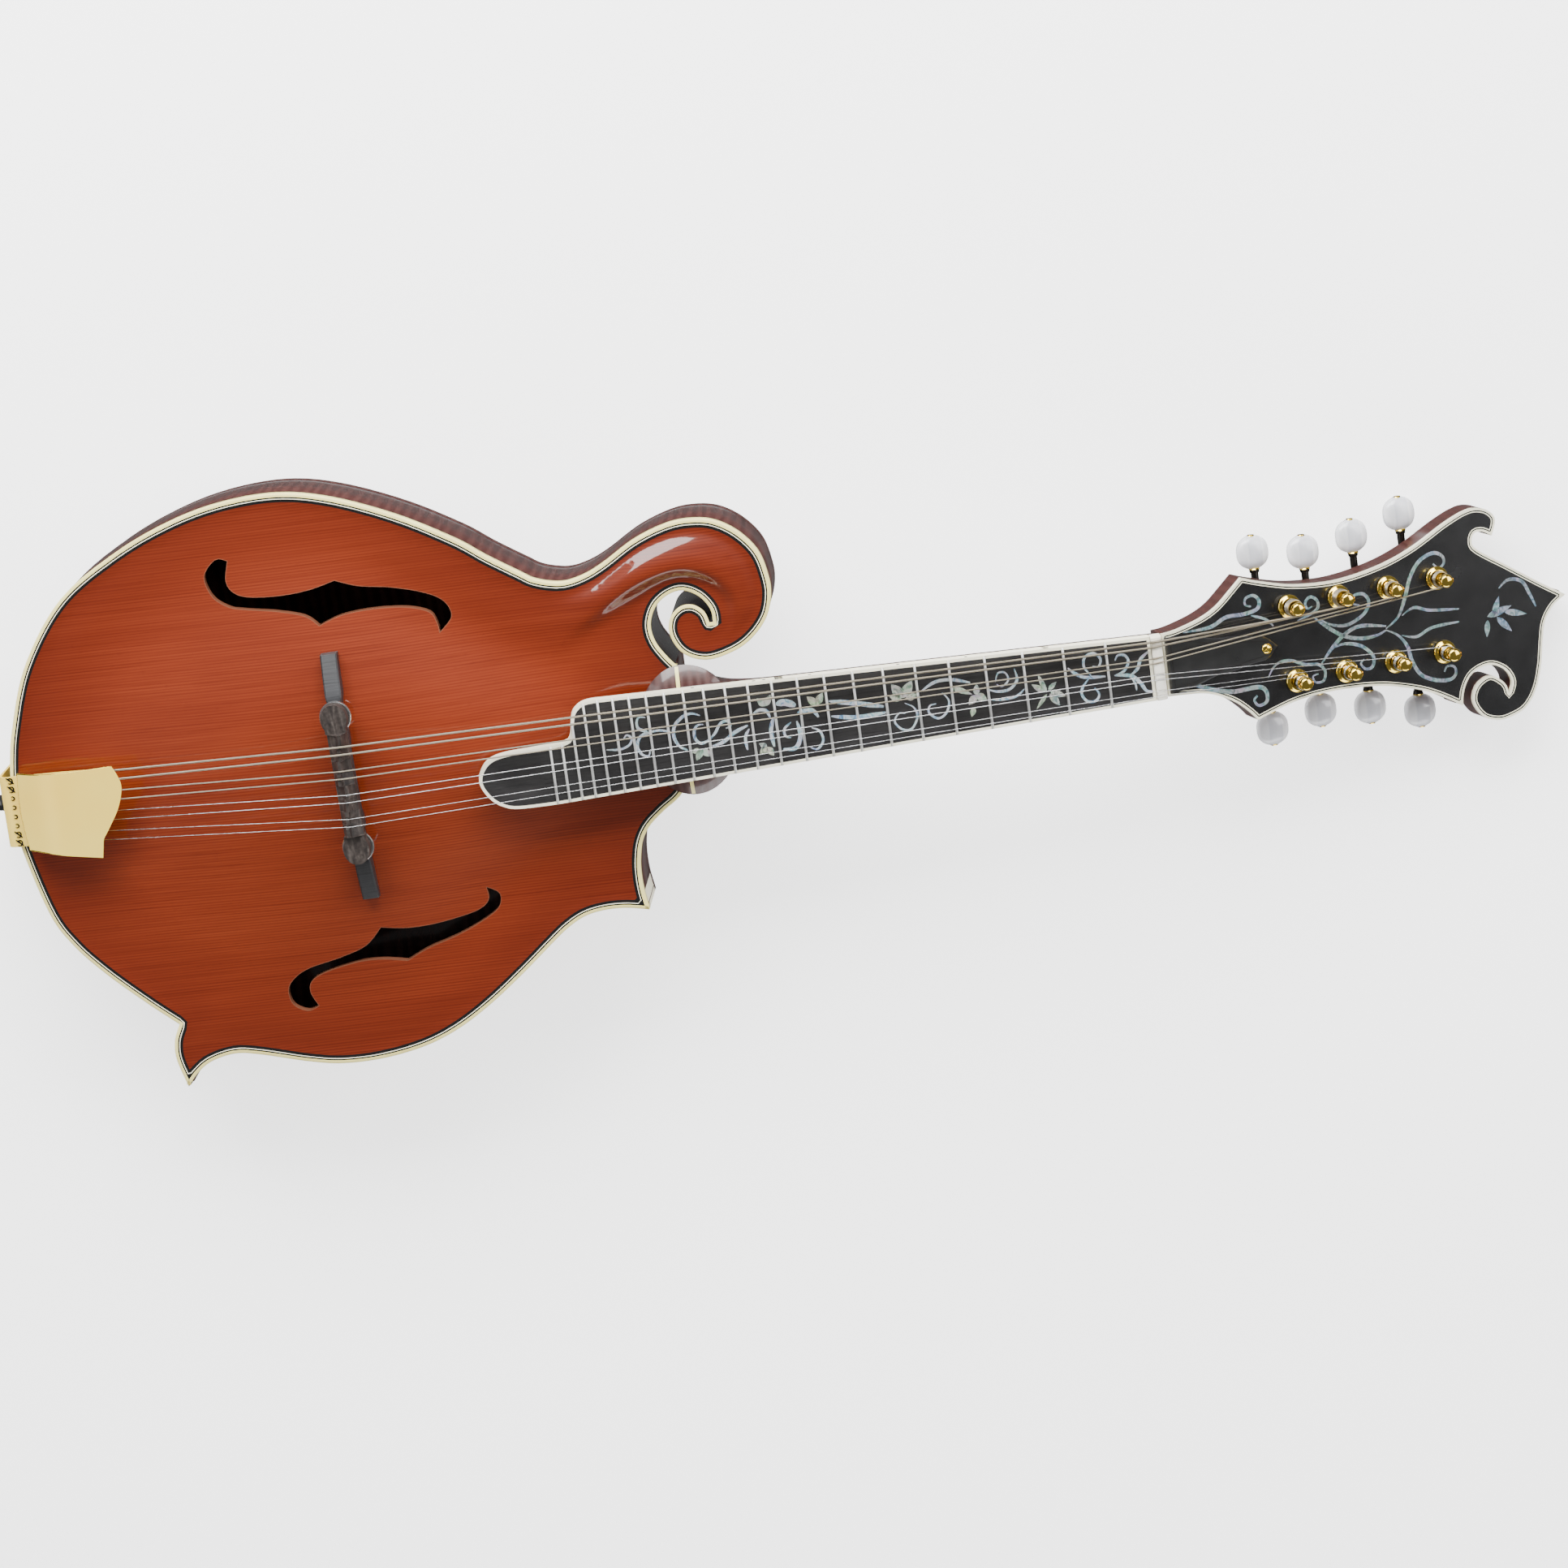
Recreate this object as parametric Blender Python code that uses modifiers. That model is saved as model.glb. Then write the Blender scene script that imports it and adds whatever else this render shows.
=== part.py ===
"""F-style mandolin: scroll body, two body points, carved plates, eight strings in four pairs.

Lengths are millimetres, turned into metres where meshes are made. The instrument frame has X from
the tail to the headstock, Y to the bass side and Z out of the soundboard, with Z = 0 on the rim's
top edge. The neck and the headstock have tilted frames of their own. The empty "lying_instrument"
lays the whole instrument on its back, touching the ground at the back's dome and the headstock's tip.
"""

import math

import bmesh
import bpy
from mathutils import Matrix, Vector

MM = 0.001
GAP = 0.3                      # clearance between pieces that touch on the real instrument

# Whole instrument
LYING_TILT = math.radians(3.97)
LYING_SHIFT = (-339.146, 4.35, 45.306)

# Body
RIM_HEIGHT = 42.0
PLATE_EDGE = 5.0
BINDING_WIDTH = 1.5
RIB_THICKNESS = 2.3
TOP_ARCH = 15.0
BACK_ARCH = 12.0
TOP_THICKNESS = 4.3
PLATE_CELL = 21.0
ARCH_CENTRE = (150.0, -2.0)
ARCH_HALF_LENGTH = 142.0
LINING_WIDTH = 5.0
LINING_HEIGHT = 8.0
GLUE_LINE = 0.8
PIN_Z = -21.0

# Neck
JOINT_X = 301.5
BOARD_HEIGHT = 13.0
NECK_ANGLE = math.radians(6.5)
NUT_U = 204.2
NUT_WIDTH = 4.8
BOARD_THICKNESS = 6.0
RISER_HALF = 15.0                  # under the fingerboard's end; beside its tongue the bass side is narrower
RISER_BASS_TONGUE = 2.5
RISER_STEP_X = 254.0
BOARD_HALF_NUT = 14.2
BOARD_HALF_FRET_24 = 22.0
FRET_24 = 264.3
HEEL_FOOT = 14.0
HEEL_START = 43.0
HEEL_DROP = 35.2
ROD_W = -10.3

# Headstock
HEAD_ANGLE = math.radians(13.5)
HEAD_STEP = 3.0
OVERLAY = 2.0
HEAD_THICKNESS = 14.3

# Tuners
POST_U = [61.0 + 23.6 * i for i in range(4)]
POST_ROW_Y = -1.1
POST_ROW_HALF = 16.7
BUTTON_REACH = [23.0, 19.0, 22.0, 28.0]
POST_RADIUS = 3.0
TEETH = 15
MODULE = 0.6
GEAR_RADIUS = MODULE * TEETH / 2
WORM_RADIUS = 2.2
WORM_PITCH = math.pi * MODULE
WORM_CENTRES = GEAR_RADIUS + WORM_RADIUS + 0.1
WORM_W = -18.6
SHAFT_SIDES = 8
TUNER_PLATE_TOP = -HEAD_THICKNESS - GAP
TUNER_PLATE_THICKNESS = 0.9

# Bridge
BRIDGE_X = 152.6
BRIDGE_TURN = math.radians(1.4)
BRIDGE_POST_Y = 29.0
SADDLE_TOP = 35.0
SADDLE_BOTTOM = 25.9
WHEEL_BOTTOM = 23.2
WHEEL_THICKNESS = 2.3
BASE_TOP = 21.6

# Strings, bass side first
STRING_RADIUS = [0.5, 0.5, 0.33, 0.33, 0.19, 0.19, 0.14, 0.14]
STRING_NAMES = ["g_low", "g_high", "d_low", "d_high", "a_low", "a_high", "e_low", "e_high"]
PAIR_GAP_BRIDGE = 3.4
PAIR_PITCH_BRIDGE = 10.7
PAIR_GAP_NUT = 2.2
PAIR_PITCH_NUT = 7.3
TAIL_PITCH = 4.2
TAIL_HOOK_X = 17.0
TAIL_HOOK_Z = 9.0
ACTION_NUT = 2.0
ACTION_BRIDGE = 5.4
WRAP_W = {POST_U[0]: 7.9, POST_U[1]: 6.0, POST_U[2]: 7.3, POST_U[3]: 5.8}


# ---------------------------------------------------------------- outlines

# Each outline is a closed chain of runs. A run is smooth, and two runs meet at a corner.
BODY_RUNS = [
    [(299.5, -21.0), (299.5, 19.5), (299.6, 28.8)],
    [(299.6, 28.8), (295.8, 33.5), (291.8, 40.5), (290.8, 48.0), (294.0, 55.5), (300.0, 60.0),
     (306.5, 61.0), (313.0, 57.5), (317.0, 51.5), (317.4, 46.0)],
    [(317.4, 46.0), (316.2, 46.0)],
    [(316.2, 46.0), (314.6, 51.0), (310.0, 54.6), (304.5, 54.6), (299.8, 51.0), (297.9, 45.5),
     (298.9, 39.5), (302.5, 33.8), (308.5, 30.3), (316.0, 29.5), (327.0, 32.6), (335.0, 37.8),
     (341.3, 45.3), (344.2, 54.0), (344.2, 62.5), (341.3, 74.0), (334.0, 83.5), (324.5, 89.8),
     (314.5, 92.0), (303.0, 91.2), (288.0, 86.0), (272.5, 77.0), (263.0, 72.9), (254.0, 71.5),
     (243.7, 73.9), (237.0, 78.0), (224.0, 86.6), (211.0, 96.0), (187.0, 109.5), (160.0, 120.5),
     (137.0, 125.3), (112.0, 124.2), (88.0, 118.5), (62.0, 107.5), (35.5, 90.2), (16.0, 63.7),
     (5.6, 35.8), (1.5, 15.4), (0.6, 0.0), (1.1, -16.0), (8.8, -47.9), (17.2, -63.8),
     (29.5, -78.3), (45.4, -93.6), (58.2, -104.8)],
    [(58.2, -104.8), (55.0, -112.0), (54.6, -121.0), (58.1, -134.0)],
    [(58.1, -134.0), (63.0, -128.3), (70.0, -123.6), (81.0, -121.2), (92.0, -122.9), (113.0, -128.6),
     (128.0, -131.3), (146.0, -131.2), (165.0, -128.0), (181.0, -122.0), (197.0, -112.5),
     (213.0, -100.6), (228.0, -88.4), (236.0, -82.2), (244.0, -77.9), (253.0, -76.1), (263.0, -76.3),
     (273.0, -78.3)],
    [(273.0, -78.3), (271.7, -70.0), (271.4, -62.7), (272.0, -55.4), (274.0, -47.5), (278.0, -41.0),
     (285.0, -35.0), (293.0, -29.3), (299.5, -21.0)],
]

# Inner face of the ribs without the scroll and the points, where the linings run.
LINING_BASS = [(23.0, 70.0), (36.8, 87.6), (63.0, 105.0), (89.0, 115.8), (112.5, 121.3), (137.0, 122.4),
               (159.0, 117.6), (185.5, 106.8), (209.0, 93.5), (222.5, 83.8), (235.5, 75.2),
               (243.0, 71.0), (252.0, 68.6)]
LINING_TREBLE = [(21.5, -65.0), (31.5, -76.5), (47.0, -91.5), (60.0, -103.0), (70.0, -112.5),
                 (82.0, -118.2), (92.5, -120.0), (113.5, -125.7), (128.2, -128.4), (145.7, -128.3),
                 (164.0, -125.2), (179.8, -119.3), (195.4, -110.0), (211.2, -98.3), (226.0, -86.2),
                 (234.5, -79.6), (243.0, -75.0), (252.5, -73.2)]

F_HOLE_BASS = [
    [(111.5, 98.5), (106.4, 99.6), (100.6, 93.0), (103.0, 84.0), (109.6, 78.8), (116.5, 77.0),
     (130.4, 74.6), (142.3, 71.2), (148.1, 66.4)],
    [(148.1, 66.4), (158.2, 69.6), (172.6, 70.4), (186.7, 69.0), (196.0, 65.6), (198.7, 60.5),
     (199.3, 56.4)],
    [(199.3, 56.4), (205.0, 62.5), (202.6, 69.4), (194.5, 74.2), (180.9, 78.3), (167.0, 80.8),
     (156.9, 84.5)],
    [(156.9, 84.5), (145.9, 82.0), (133.0, 81.0), (119.0, 81.9), (112.3, 84.7), (109.6, 90.0),
     (111.5, 98.5)],
]
F_HOLE_TREBLE = [
    [(121.5, -103.6), (116.2, -105.2), (110.4, -101.5), (109.4, -94.6), (113.0, -89.6),
     (120.5, -85.6), (135.7, -82.0), (147.2, -77.9), (154.9, -70.4)],
    [(154.9, -70.4), (165.0, -72.2), (176.0, -72.4), (188.0, -71.0), (198.5, -68.6),
     (203.3, -64.6), (203.2, -58.8)],
    [(203.2, -58.8), (208.3, -62.6), (206.8, -69.0), (198.2, -74.4), (186.7, -79.2), (173.5, -83.2),
     (163.8, -87.6)],
    [(163.8, -87.6), (153.0, -85.4), (142.4, -85.2), (128.0, -88.0), (120.4, -91.6),
     (118.8, -97.0), (121.5, -103.6)],
]

BOARD_RUNS = [
    [(204.0, 14.2), (-38.8, 21.35)],
    [(-38.8, 21.35), (-44.0, 20.6), (-48.0, 17.6), (-49.6, 13.1), (-50.9, 6.6), (-54.0, 4.5),
     (-65.4, 3.8), (-80.7, 3.1), (-88.1, 0.6), (-92.1, -5.0), (-92.1, -10.0), (-88.7, -15.8),
     (-83.9, -19.6), (-77.0, -21.6), (-60.0, -22.0)],
    [(-60.0, -22.0), (204.0, -14.2)],
    [(204.0, -14.2), (204.0, 14.2)],
]

HEAD_RUNS = [
    [(0.9, -13.9), (7.9, -14.4), (19.2, -16.0), (30.0, -21.2), (37.0, -27.2), (40.8, -31.8)],
    [(40.8, -31.8), (60.2, -26.7), (79.7, -25.6), (99.0, -27.3), (114.2, -31.2), (125.5, -35.9),
     (138.0, -43.4)],
    [(138.0, -43.4), (139.4, -36.6), (143.9, -30.1), (152.5, -27.6), (159.6, -31.1), (162.6, -37.0),
     (160.6, -42.4)],
    [(160.6, -42.4), (159.0, -37.0), (152.5, -32.5), (145.6, -35.6), (143.0, -42.5), (147.0, -50.0),
     (154.3, -53.2), (161.0, -52.6), (168.0, -49.8), (173.6, -42.9), (177.3, -32.5), (179.3, -21.8),
     (181.5, -12.9), (186.2, -6.6), (192.5, -2.7)],
    [(192.5, -2.7), (181.4, 4.5), (166.7, 14.8), (152.9, 24.4), (150.4, 28.4), (152.0, 32.2),
     (156.0, 32.2), (160.2, 29.6)],
    [(160.2, 29.6), (162.6, 36.5), (159.8, 41.0), (154.2, 43.2), (148.0, 42.7), (138.0, 38.9),
     (121.5, 30.9), (105.3, 25.8), (85.5, 23.1), (66.4, 24.4), (51.4, 28.2), (40.4, 32.0)],
    [(40.4, 32.0), (35.0, 27.4), (27.5, 21.4), (19.4, 17.6), (7.7, 14.6), (0.9, 14.0)],
    [(0.9, 14.0), (0.9, -13.9)],
]

COVER_RUNS = [
    [(1.6, -12.6), (12.0, -11.6), (24.0, -8.6), (32.0, -8.0), (40.0, -6.6), (48.0, -5.4),
     (53.5, -0.6)],
    [(53.5, -0.6), (48.0, 4.4), (40.0, 5.8), (32.0, 7.2), (24.0, 8.0), (12.0, 11.2), (1.6, 12.4)],
    [(1.6, 12.4), (1.6, -12.6)],
]

TAIL_COVER_RUNS = [
    [(6.5, 17.8), (5.2, 0.0), (7.0, -17.0)],
    [(7.0, -17.0), (16.0, -17.8), (27.0, -19.6), (40.6, -21.8)],
    [(40.6, -21.8), (42.2, -13.4)],
    [(42.2, -13.4), (46.0, -8.0), (50.6, -0.6), (53.6, 8.0), (52.6, 13.6), (50.6, 18.2)],
    [(50.6, 18.2), (29.0, 17.6), (6.5, 17.8)],
]


def spline_run(points, step):
    """Points along a smooth run through the given points, without its last one."""
    result = []
    last = len(points) - 1
    for i in range(last):
        before = points[max(i - 1, 0)]
        start = points[i]
        end = points[i + 1]
        after = points[min(i + 2, last)]
        pieces = max(1, round(math.dist(start, end) / step)) if last > 1 else 1
        for k in range(pieces):
            t = k / pieces
            result.append(tuple(
                0.5 * (2 * start[a] + (end[a] - before[a]) * t
                       + (2 * before[a] - 5 * start[a] + 4 * end[a] - after[a]) * t * t
                       + (3 * start[a] - before[a] - 3 * end[a] + after[a]) * t ** 3)
                for a in range(2)))
    return result


def outline(runs, step=18.0):
    """Closed chain of points around all runs."""
    return [point for run in runs for point in spline_run(run, step)]


def inset(points, distance):
    """The same counter-clockwise outline moved inwards, with mitred corners."""
    result = []
    count = len(points)
    for i, point in enumerate(points):
        before = points[i - 1]
        after = points[(i + 1) % count]
        a = Vector((point[0] - before[0], point[1] - before[1])).normalized()
        b = Vector((after[0] - point[0], after[1] - point[1])).normalized()
        normal = Vector((-a.y - b.y, a.x + b.x))
        normal.normalize()
        reach = distance / max(0.45, normal.dot(Vector((-a.y, a.x))))
        result.append((point[0] + normal.x * reach, point[1] + normal.y * reach))
    return result


def arch_half_width(x):
    """Half of the arched area's width at a station, wide in the lower bout and narrow at the neck."""
    t = min(1.0, max(0.0, (x - 125.0) / 145.0))
    return 114.0 - 60.0 * (0.5 - 0.5 * math.cos(math.pi * t))


def arch(x, y):
    """Height of the carved arch from 0 at the edge to 1 on the middle, with a soft recurve."""
    along = (x - ARCH_CENTRE[0]) / ARCH_HALF_LENGTH
    across = (y - ARCH_CENTRE[1]) / arch_half_width(x)
    t = min(1.0, max(0.0, (1.0 - math.hypot(along, across)) / 0.85))
    return t * t * (3.0 - 2.0 * t)


def top_z(x, y):
    return TOP_ARCH * arch(x, y)


def back_z(x, y):
    return -RIM_HEIGHT - BACK_ARCH * arch(x, y)


def board_half(u):
    """Half of the fingerboard's width, u along the neck from the body joint to the nut."""
    share = (NUT_U - u) / FRET_24
    return BOARD_HALF_NUT + (BOARD_HALF_FRET_24 - BOARD_HALF_NUT) * share


# ---------------------------------------------------------------- objects and materials

MATERIALS = {
    "sunburst": ((0.42, 0.10, 0.03), 0.25, 0.0),
    "maple": ((0.30, 0.12, 0.08), 0.3, 0.0),
    "spruce": ((0.72, 0.52, 0.30), 0.6, 0.0),
    "binding": ((0.93, 0.87, 0.66), 0.35, 0.0),
    "ebony": ((0.02, 0.018, 0.018), 0.4, 0.0),
    "bone": ((0.92, 0.90, 0.82), 0.4, 0.0),
    "gold": ((0.85, 0.62, 0.22), 0.25, 1.0),
    "steel": ((0.72, 0.72, 0.72), 0.3, 1.0),
    "bronze": ((0.75, 0.62, 0.38), 0.35, 1.0),
    "pearloid": ((0.85, 0.85, 0.86), 0.25, 0.0),
    "black_plastic": ((0.02, 0.02, 0.02), 0.35, 0.0),
}


def material(name):
    found = bpy.data.materials.get(name)
    if found:
        return found
    made = bpy.data.materials.new(name)
    made.use_nodes = True
    colour, roughness, metallic = MATERIALS[name]
    shader = made.node_tree.nodes["Principled BSDF"]
    shader.inputs["Base Color"].default_value = (*colour, 1.0)
    shader.inputs["Roughness"].default_value = roughness
    shader.inputs["Metallic"].default_value = metallic
    return made


def collection(name):
    found = bpy.data.collections.get(name)
    if not found:
        found = bpy.data.collections.new(name)
        bpy.context.scene.collection.children.link(found)
    return found


def add_empty(name, parent=None, matrix=None):
    empty = bpy.data.objects.new(name, None)
    collection("mandolin").objects.link(empty)
    empty.parent = parent
    if matrix:
        empty.matrix_local = matrix
    return empty


def add_object(name, mesh, finish, parent, place=None, smooth=False):
    part = bpy.data.objects.new(name, mesh)
    collection("mandolin").objects.link(part)
    part.parent = parent
    if place:
        part.matrix_local = place
    if finish and not mesh.materials:
        mesh.materials.append(material(finish))
    if smooth:
        mesh.shade_smooth()
        mesh.set_sharp_from_angle(angle=math.radians(40))
    return part


def add_cutter(name, mesh, parent, place=None):
    cutter = bpy.data.objects.new(name, mesh)
    collection("cutters").objects.link(cutter)
    cutter.parent = parent
    if place:
        cutter.matrix_local = place
    cutter.hide_render = True
    cutter.display_type = "WIRE"
    return cutter


def cut(part, cutter, operation="DIFFERENCE"):
    step = part.modifiers.new(cutter.name, "BOOLEAN")
    step.operation = operation
    step.object = cutter
    return step


def at(x, y, z):
    return Matrix.Translation((x * MM, y * MM, z * MM))


def mesh_from_bmesh(name, shape):
    bmesh.ops.recalc_face_normals(shape, faces=shape.faces)
    mesh = bpy.data.meshes.new(name)
    shape.to_mesh(mesh)
    shape.free()
    return mesh


def evaluated_mesh(source, name):
    bpy.context.view_layer.update()
    graph = bpy.context.evaluated_depsgraph_get()
    mesh = bpy.data.meshes.new_from_object(source.evaluated_get(graph))
    mesh.name = name
    shape = bmesh.new()
    shape.from_mesh(mesh)
    bmesh.ops.remove_doubles(shape, verts=shape.verts, dist=0.001 * MM)
    shape.to_mesh(mesh)
    shape.free()
    return mesh


def flat_mesh(name, outlines, low, high):
    """A flat piece between two heights, with its holes as further outlines."""
    curve = bpy.data.curves.new(name, "CURVE")
    curve.dimensions = "2D"
    curve.fill_mode = "BOTH"
    curve.extrude = 0.5 * (high - low) * MM
    for points in outlines:
        spline = curve.splines.new("POLY")
        spline.points.add(len(points) - 1)
        spline.use_cyclic_u = True
        for target, point in zip(spline.points, points):
            target.co = (point[0] * MM, point[1] * MM, 0.0, 1.0)
    source = bpy.data.objects.new(name, curve)
    bpy.context.scene.collection.objects.link(source)
    mesh = evaluated_mesh(source, name)
    bpy.data.objects.remove(source)
    bpy.data.curves.remove(curve)
    mesh.transform(Matrix.Translation((0.0, 0.0, 0.5 * (high + low) * MM)))
    return mesh


def box_mesh(name, low, high):
    shape = bmesh.new()
    size = [(b - a) * MM for a, b in zip(low, high)]
    centre = [0.5 * (a + b) * MM for a, b in zip(low, high)]
    place = Matrix.Translation(centre) @ Matrix.Diagonal((*size, 1.0))
    bmesh.ops.create_cube(shape, size=1.0, matrix=place)
    return mesh_from_bmesh(name, shape)


def rod_mesh(name, radius, low, high, sides=16):
    shape = bmesh.new()
    bmesh.ops.create_cone(shape, cap_ends=True, segments=sides, radius1=radius * MM, radius2=radius * MM,
                          depth=(high - low) * MM,
                          matrix=Matrix.Translation((0.0, 0.0, 0.5 * (low + high) * MM)))
    return mesh_from_bmesh(name, shape)


def loft_mesh(name, rings):
    """A closed skin through rings of equally many points, capped at both ends."""
    shape = bmesh.new()
    rows = [[shape.verts.new([c * MM for c in point]) for point in ring] for ring in rings]
    count = len(rings[0])
    for row, following in zip(rows, rows[1:]):
        for k in range(count):
            after = (k + 1) % count
            shape.faces.new((row[k], row[after], following[after], following[k]))
    shape.faces.new(rows[0])
    shape.faces.new(rows[-1])
    return mesh_from_bmesh(name, shape)


def turned_mesh(name, profile, sides=16):
    """A turned shape about Z from a profile of (radius, height) that runs from top to bottom."""
    mesh = bpy.data.meshes.new(name)
    points = [(radius * MM, 0.0, height * MM) for radius, height in profile]
    mesh.from_pydata(points, [(i, i + 1) for i in range(len(points) - 1)], [])
    source = bpy.data.objects.new(name, mesh)
    bpy.context.scene.collection.objects.link(source)
    screw = source.modifiers.new("turn", "SCREW")
    screw.steps = sides
    screw.render_steps = sides
    screw.use_merge_vertices = True
    screw.merge_threshold = 0.00001
    result = evaluated_mesh(source, name)
    bpy.data.objects.remove(source)
    bpy.data.meshes.remove(mesh)
    return result


def wire_mesh(name, points, radius):
    """A round wire along straight stretches between points."""
    curve = bpy.data.curves.new(name, "CURVE")
    curve.dimensions = "3D"
    curve.bevel_depth = radius * MM
    curve.bevel_resolution = 1
    curve.use_fill_caps = True
    spline = curve.splines.new("POLY")
    spline.points.add(len(points) - 1)
    for target, point in zip(spline.points, points):
        target.co = (*[c * MM for c in point], 1.0)
    source = bpy.data.objects.new(name, curve)
    bpy.context.scene.collection.objects.link(source)
    mesh = evaluated_mesh(source, name)
    bpy.data.objects.remove(source)
    bpy.data.curves.remove(curve)
    return mesh


# ---------------------------------------------------------------- frames

def make_frames():
    lying = Matrix.Translation([c * MM for c in LYING_SHIFT]) @ Matrix.Rotation(-LYING_TILT, 4, "Y")
    instrument = add_empty("lying_instrument", None, lying)
    neck = at(JOINT_X, 0.0, BOARD_HEIGHT) @ Matrix.Rotation(NECK_ANGLE, 4, "Y")
    neck_frame = add_empty("neck_frame", instrument, neck)
    head = at(NUT_U + NUT_WIDTH, 0.0, -HEAD_STEP) @ Matrix.Rotation(HEAD_ANGLE, 4, "Y")
    head_frame = add_empty("head_frame", neck_frame, head)
    return instrument, neck_frame, head_frame, neck, neck @ head


# ---------------------------------------------------------------- body

def arched_plate(name, height, thickness, rim, parent, finish):
    """A carved plate: an arched sheet of even thickness, trimmed to the rim."""
    columns = round(350.0 / PLATE_CELL)
    rows = round(270.0 / PLATE_CELL)
    shape = bmesh.new()
    bmesh.ops.create_grid(shape, x_segments=columns, y_segments=rows, size=0.5)
    for vert in shape.verts:
        x = 172.0 + 352.0 * vert.co.x
        y = -4.0 + 264.0 * vert.co.y
        vert.co = (x * MM, y * MM, height(x, y) * MM)
    upper = [face for face in shape.faces]
    copy = bmesh.ops.duplicate(shape, geom=upper)
    lower = [item for item in copy["geom"] if isinstance(item, bmesh.types.BMVert)]
    bmesh.ops.translate(shape, verts=lower, vec=(0.0, 0.0, thickness * MM))
    edges = [edge for edge in shape.edges if edge.is_boundary]
    bmesh.ops.bridge_loops(shape, edges=edges)
    plate = add_object(name, mesh_from_bmesh(name, shape), finish, parent, smooth=True)
    trim = add_cutter(name + "_trim", flat_mesh(name + "_trim", [rim], -70.0, 30.0), parent)
    cut(plate, trim, "INTERSECT")
    return plate


def make_body(instrument):
    full = outline(BODY_RUNS)
    plate_rim = inset(full, BINDING_WIDTH + GAP)
    soundboard = arched_plate("soundboard", top_z, -TOP_THICKNESS, plate_rim, instrument, "sunburst")
    for side, runs in (("bass", F_HOLE_BASS), ("treble", F_HOLE_TREBLE)):
        hole = flat_mesh("f_hole_" + side, [outline(runs, 14.0)], -20.0, 30.0)
        cut(soundboard, add_cutter("f_hole_" + side, hole, instrument))
    arched_plate("back_plate", back_z, TOP_THICKNESS, plate_rim, instrument, "maple")

    edge = inset(full, BINDING_WIDTH)
    top = flat_mesh("top_binding", [full, edge], -PLATE_EDGE, 0.0)
    add_object("top_binding", top, "binding", instrument)
    bottom = flat_mesh("back_binding", [full, edge], -RIM_HEIGHT, PLATE_EDGE - RIM_HEIGHT)
    add_object("back_binding", bottom, "maple", instrument)

    rib_low = PLATE_EDGE - RIM_HEIGHT + GAP
    rib_high = -PLATE_EDGE - GAP
    ribs = flat_mesh("ribs", [full, inset(full, RIB_THICKNESS)], rib_low, rib_high)
    ribs = add_object("ribs", ribs, "maple", instrument)
    window = box_mesh("heel_window", (290.0, -11.5, rib_low - 5.0), (305.0, 11.5, rib_high + 5.0))
    cut(ribs, add_cutter("heel_window", window, instrument))
    turned = at(5.0, 0.0, PIN_Z) @ Matrix.Rotation(math.pi / 2, 4, "Y")
    pin_bore = add_cutter("pin_bore", rod_mesh("pin_bore", 4.3, -30.0, 30.0), instrument, turned)
    cut(ribs, pin_bore)

    make_linings(instrument, rib_low, rib_high)
    make_blocks(instrument, full, rib_low, rib_high, pin_bore)
    make_tone_bars(instrument)


def make_linings(instrument, rib_low, rib_high):
    for side, points, turn in (("bass", LINING_BASS, -1.0), ("treble", LINING_TREBLE, 1.0)):
        line = spline_run(points, 14.0) + [points[-1]]
        outer = []
        inner = []
        for i, point in enumerate(line):
            before = line[max(i - 1, 0)]
            after = line[min(i + 1, len(line) - 1)]
            along = Vector((after[0] - before[0], after[1] - before[1])).normalized() * turn
            for edge, depth in ((outer, GLUE_LINE), (inner, GLUE_LINE + LINING_WIDTH)):
                edge.append((point[0] - along.y * depth, point[1] + along.x * depth))
        strip = outer + inner[::-1]
        for place, low in (("top", rib_high - LINING_HEIGHT), ("back", rib_low)):
            name = place + "_lining_" + side
            add_object(name, flat_mesh(name, [strip], low, low + LINING_HEIGHT), "spruce", instrument)


def make_blocks(instrument, full, rib_low, rib_high, pin_bore):
    inside = inset(full, RIB_THICKNESS + GAP)
    regions = {
        "neck_block": [(262.0, -26.0), (300.0, -27.0), (360.0, -20.0), (360.0, 100.0), (262.0, 100.0)],
        "tail_block": [(-5.0, -28.0), (23.0, -28.0), (23.0, 28.0), (-5.0, 28.0)],
        "lower_point_block": [(45.0, -107.0), (60.0, -107.0), (68.0, -114.5), (73.0, -118.5),
                              (73.0, -140.0), (45.0, -140.0)],
        "upper_point_block": [(256.0, -60.0), (280.0, -56.0), (280.0, -90.0), (256.0, -90.0)],
    }
    for name, region in regions.items():
        block = add_object(name, flat_mesh(name, [inside], rib_low, rib_high), "spruce", instrument)
        limit = add_cutter(name + "_limit", flat_mesh(name + "_limit", [region], -60.0, 20.0), instrument)
        cut(block, limit, "INTERSECT")
        if name == "neck_block":
            mortise = box_mesh("mortise", (281.0, -11.5, -50.0), (320.0, 11.5, 10.0))
            cut(block, add_cutter("mortise", mortise, instrument))
        if name == "tail_block":
            cut(block, pin_bore)


def make_tone_bars(instrument):
    for name, start, end in (("tone_bar_bass", (75.0, 38.0), (232.0, 20.0)),
                             ("tone_bar_treble", (75.0, -40.0), (232.0, -22.0))):
        rings = []
        stations = 12
        for k in range(stations + 1):
            t = k / stations
            x = start[0] + (end[0] - start[0]) * t
            y = start[1] + (end[1] - start[1]) * t
            top = min(top_z(x, y - 2.5), top_z(x, y + 2.5)) - TOP_THICKNESS - 0.7
            depth = 3.0 + 7.0 * math.sin(math.pi * t)
            rings.append([(x, y - 2.5, top), (x, y + 2.5, top), (x, y + 2.5, top - depth),
                          (x, y - 2.5, top - depth)])
        add_object(name, loft_mesh(name, rings), "spruce", instrument)


# ---------------------------------------------------------------- neck

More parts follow.
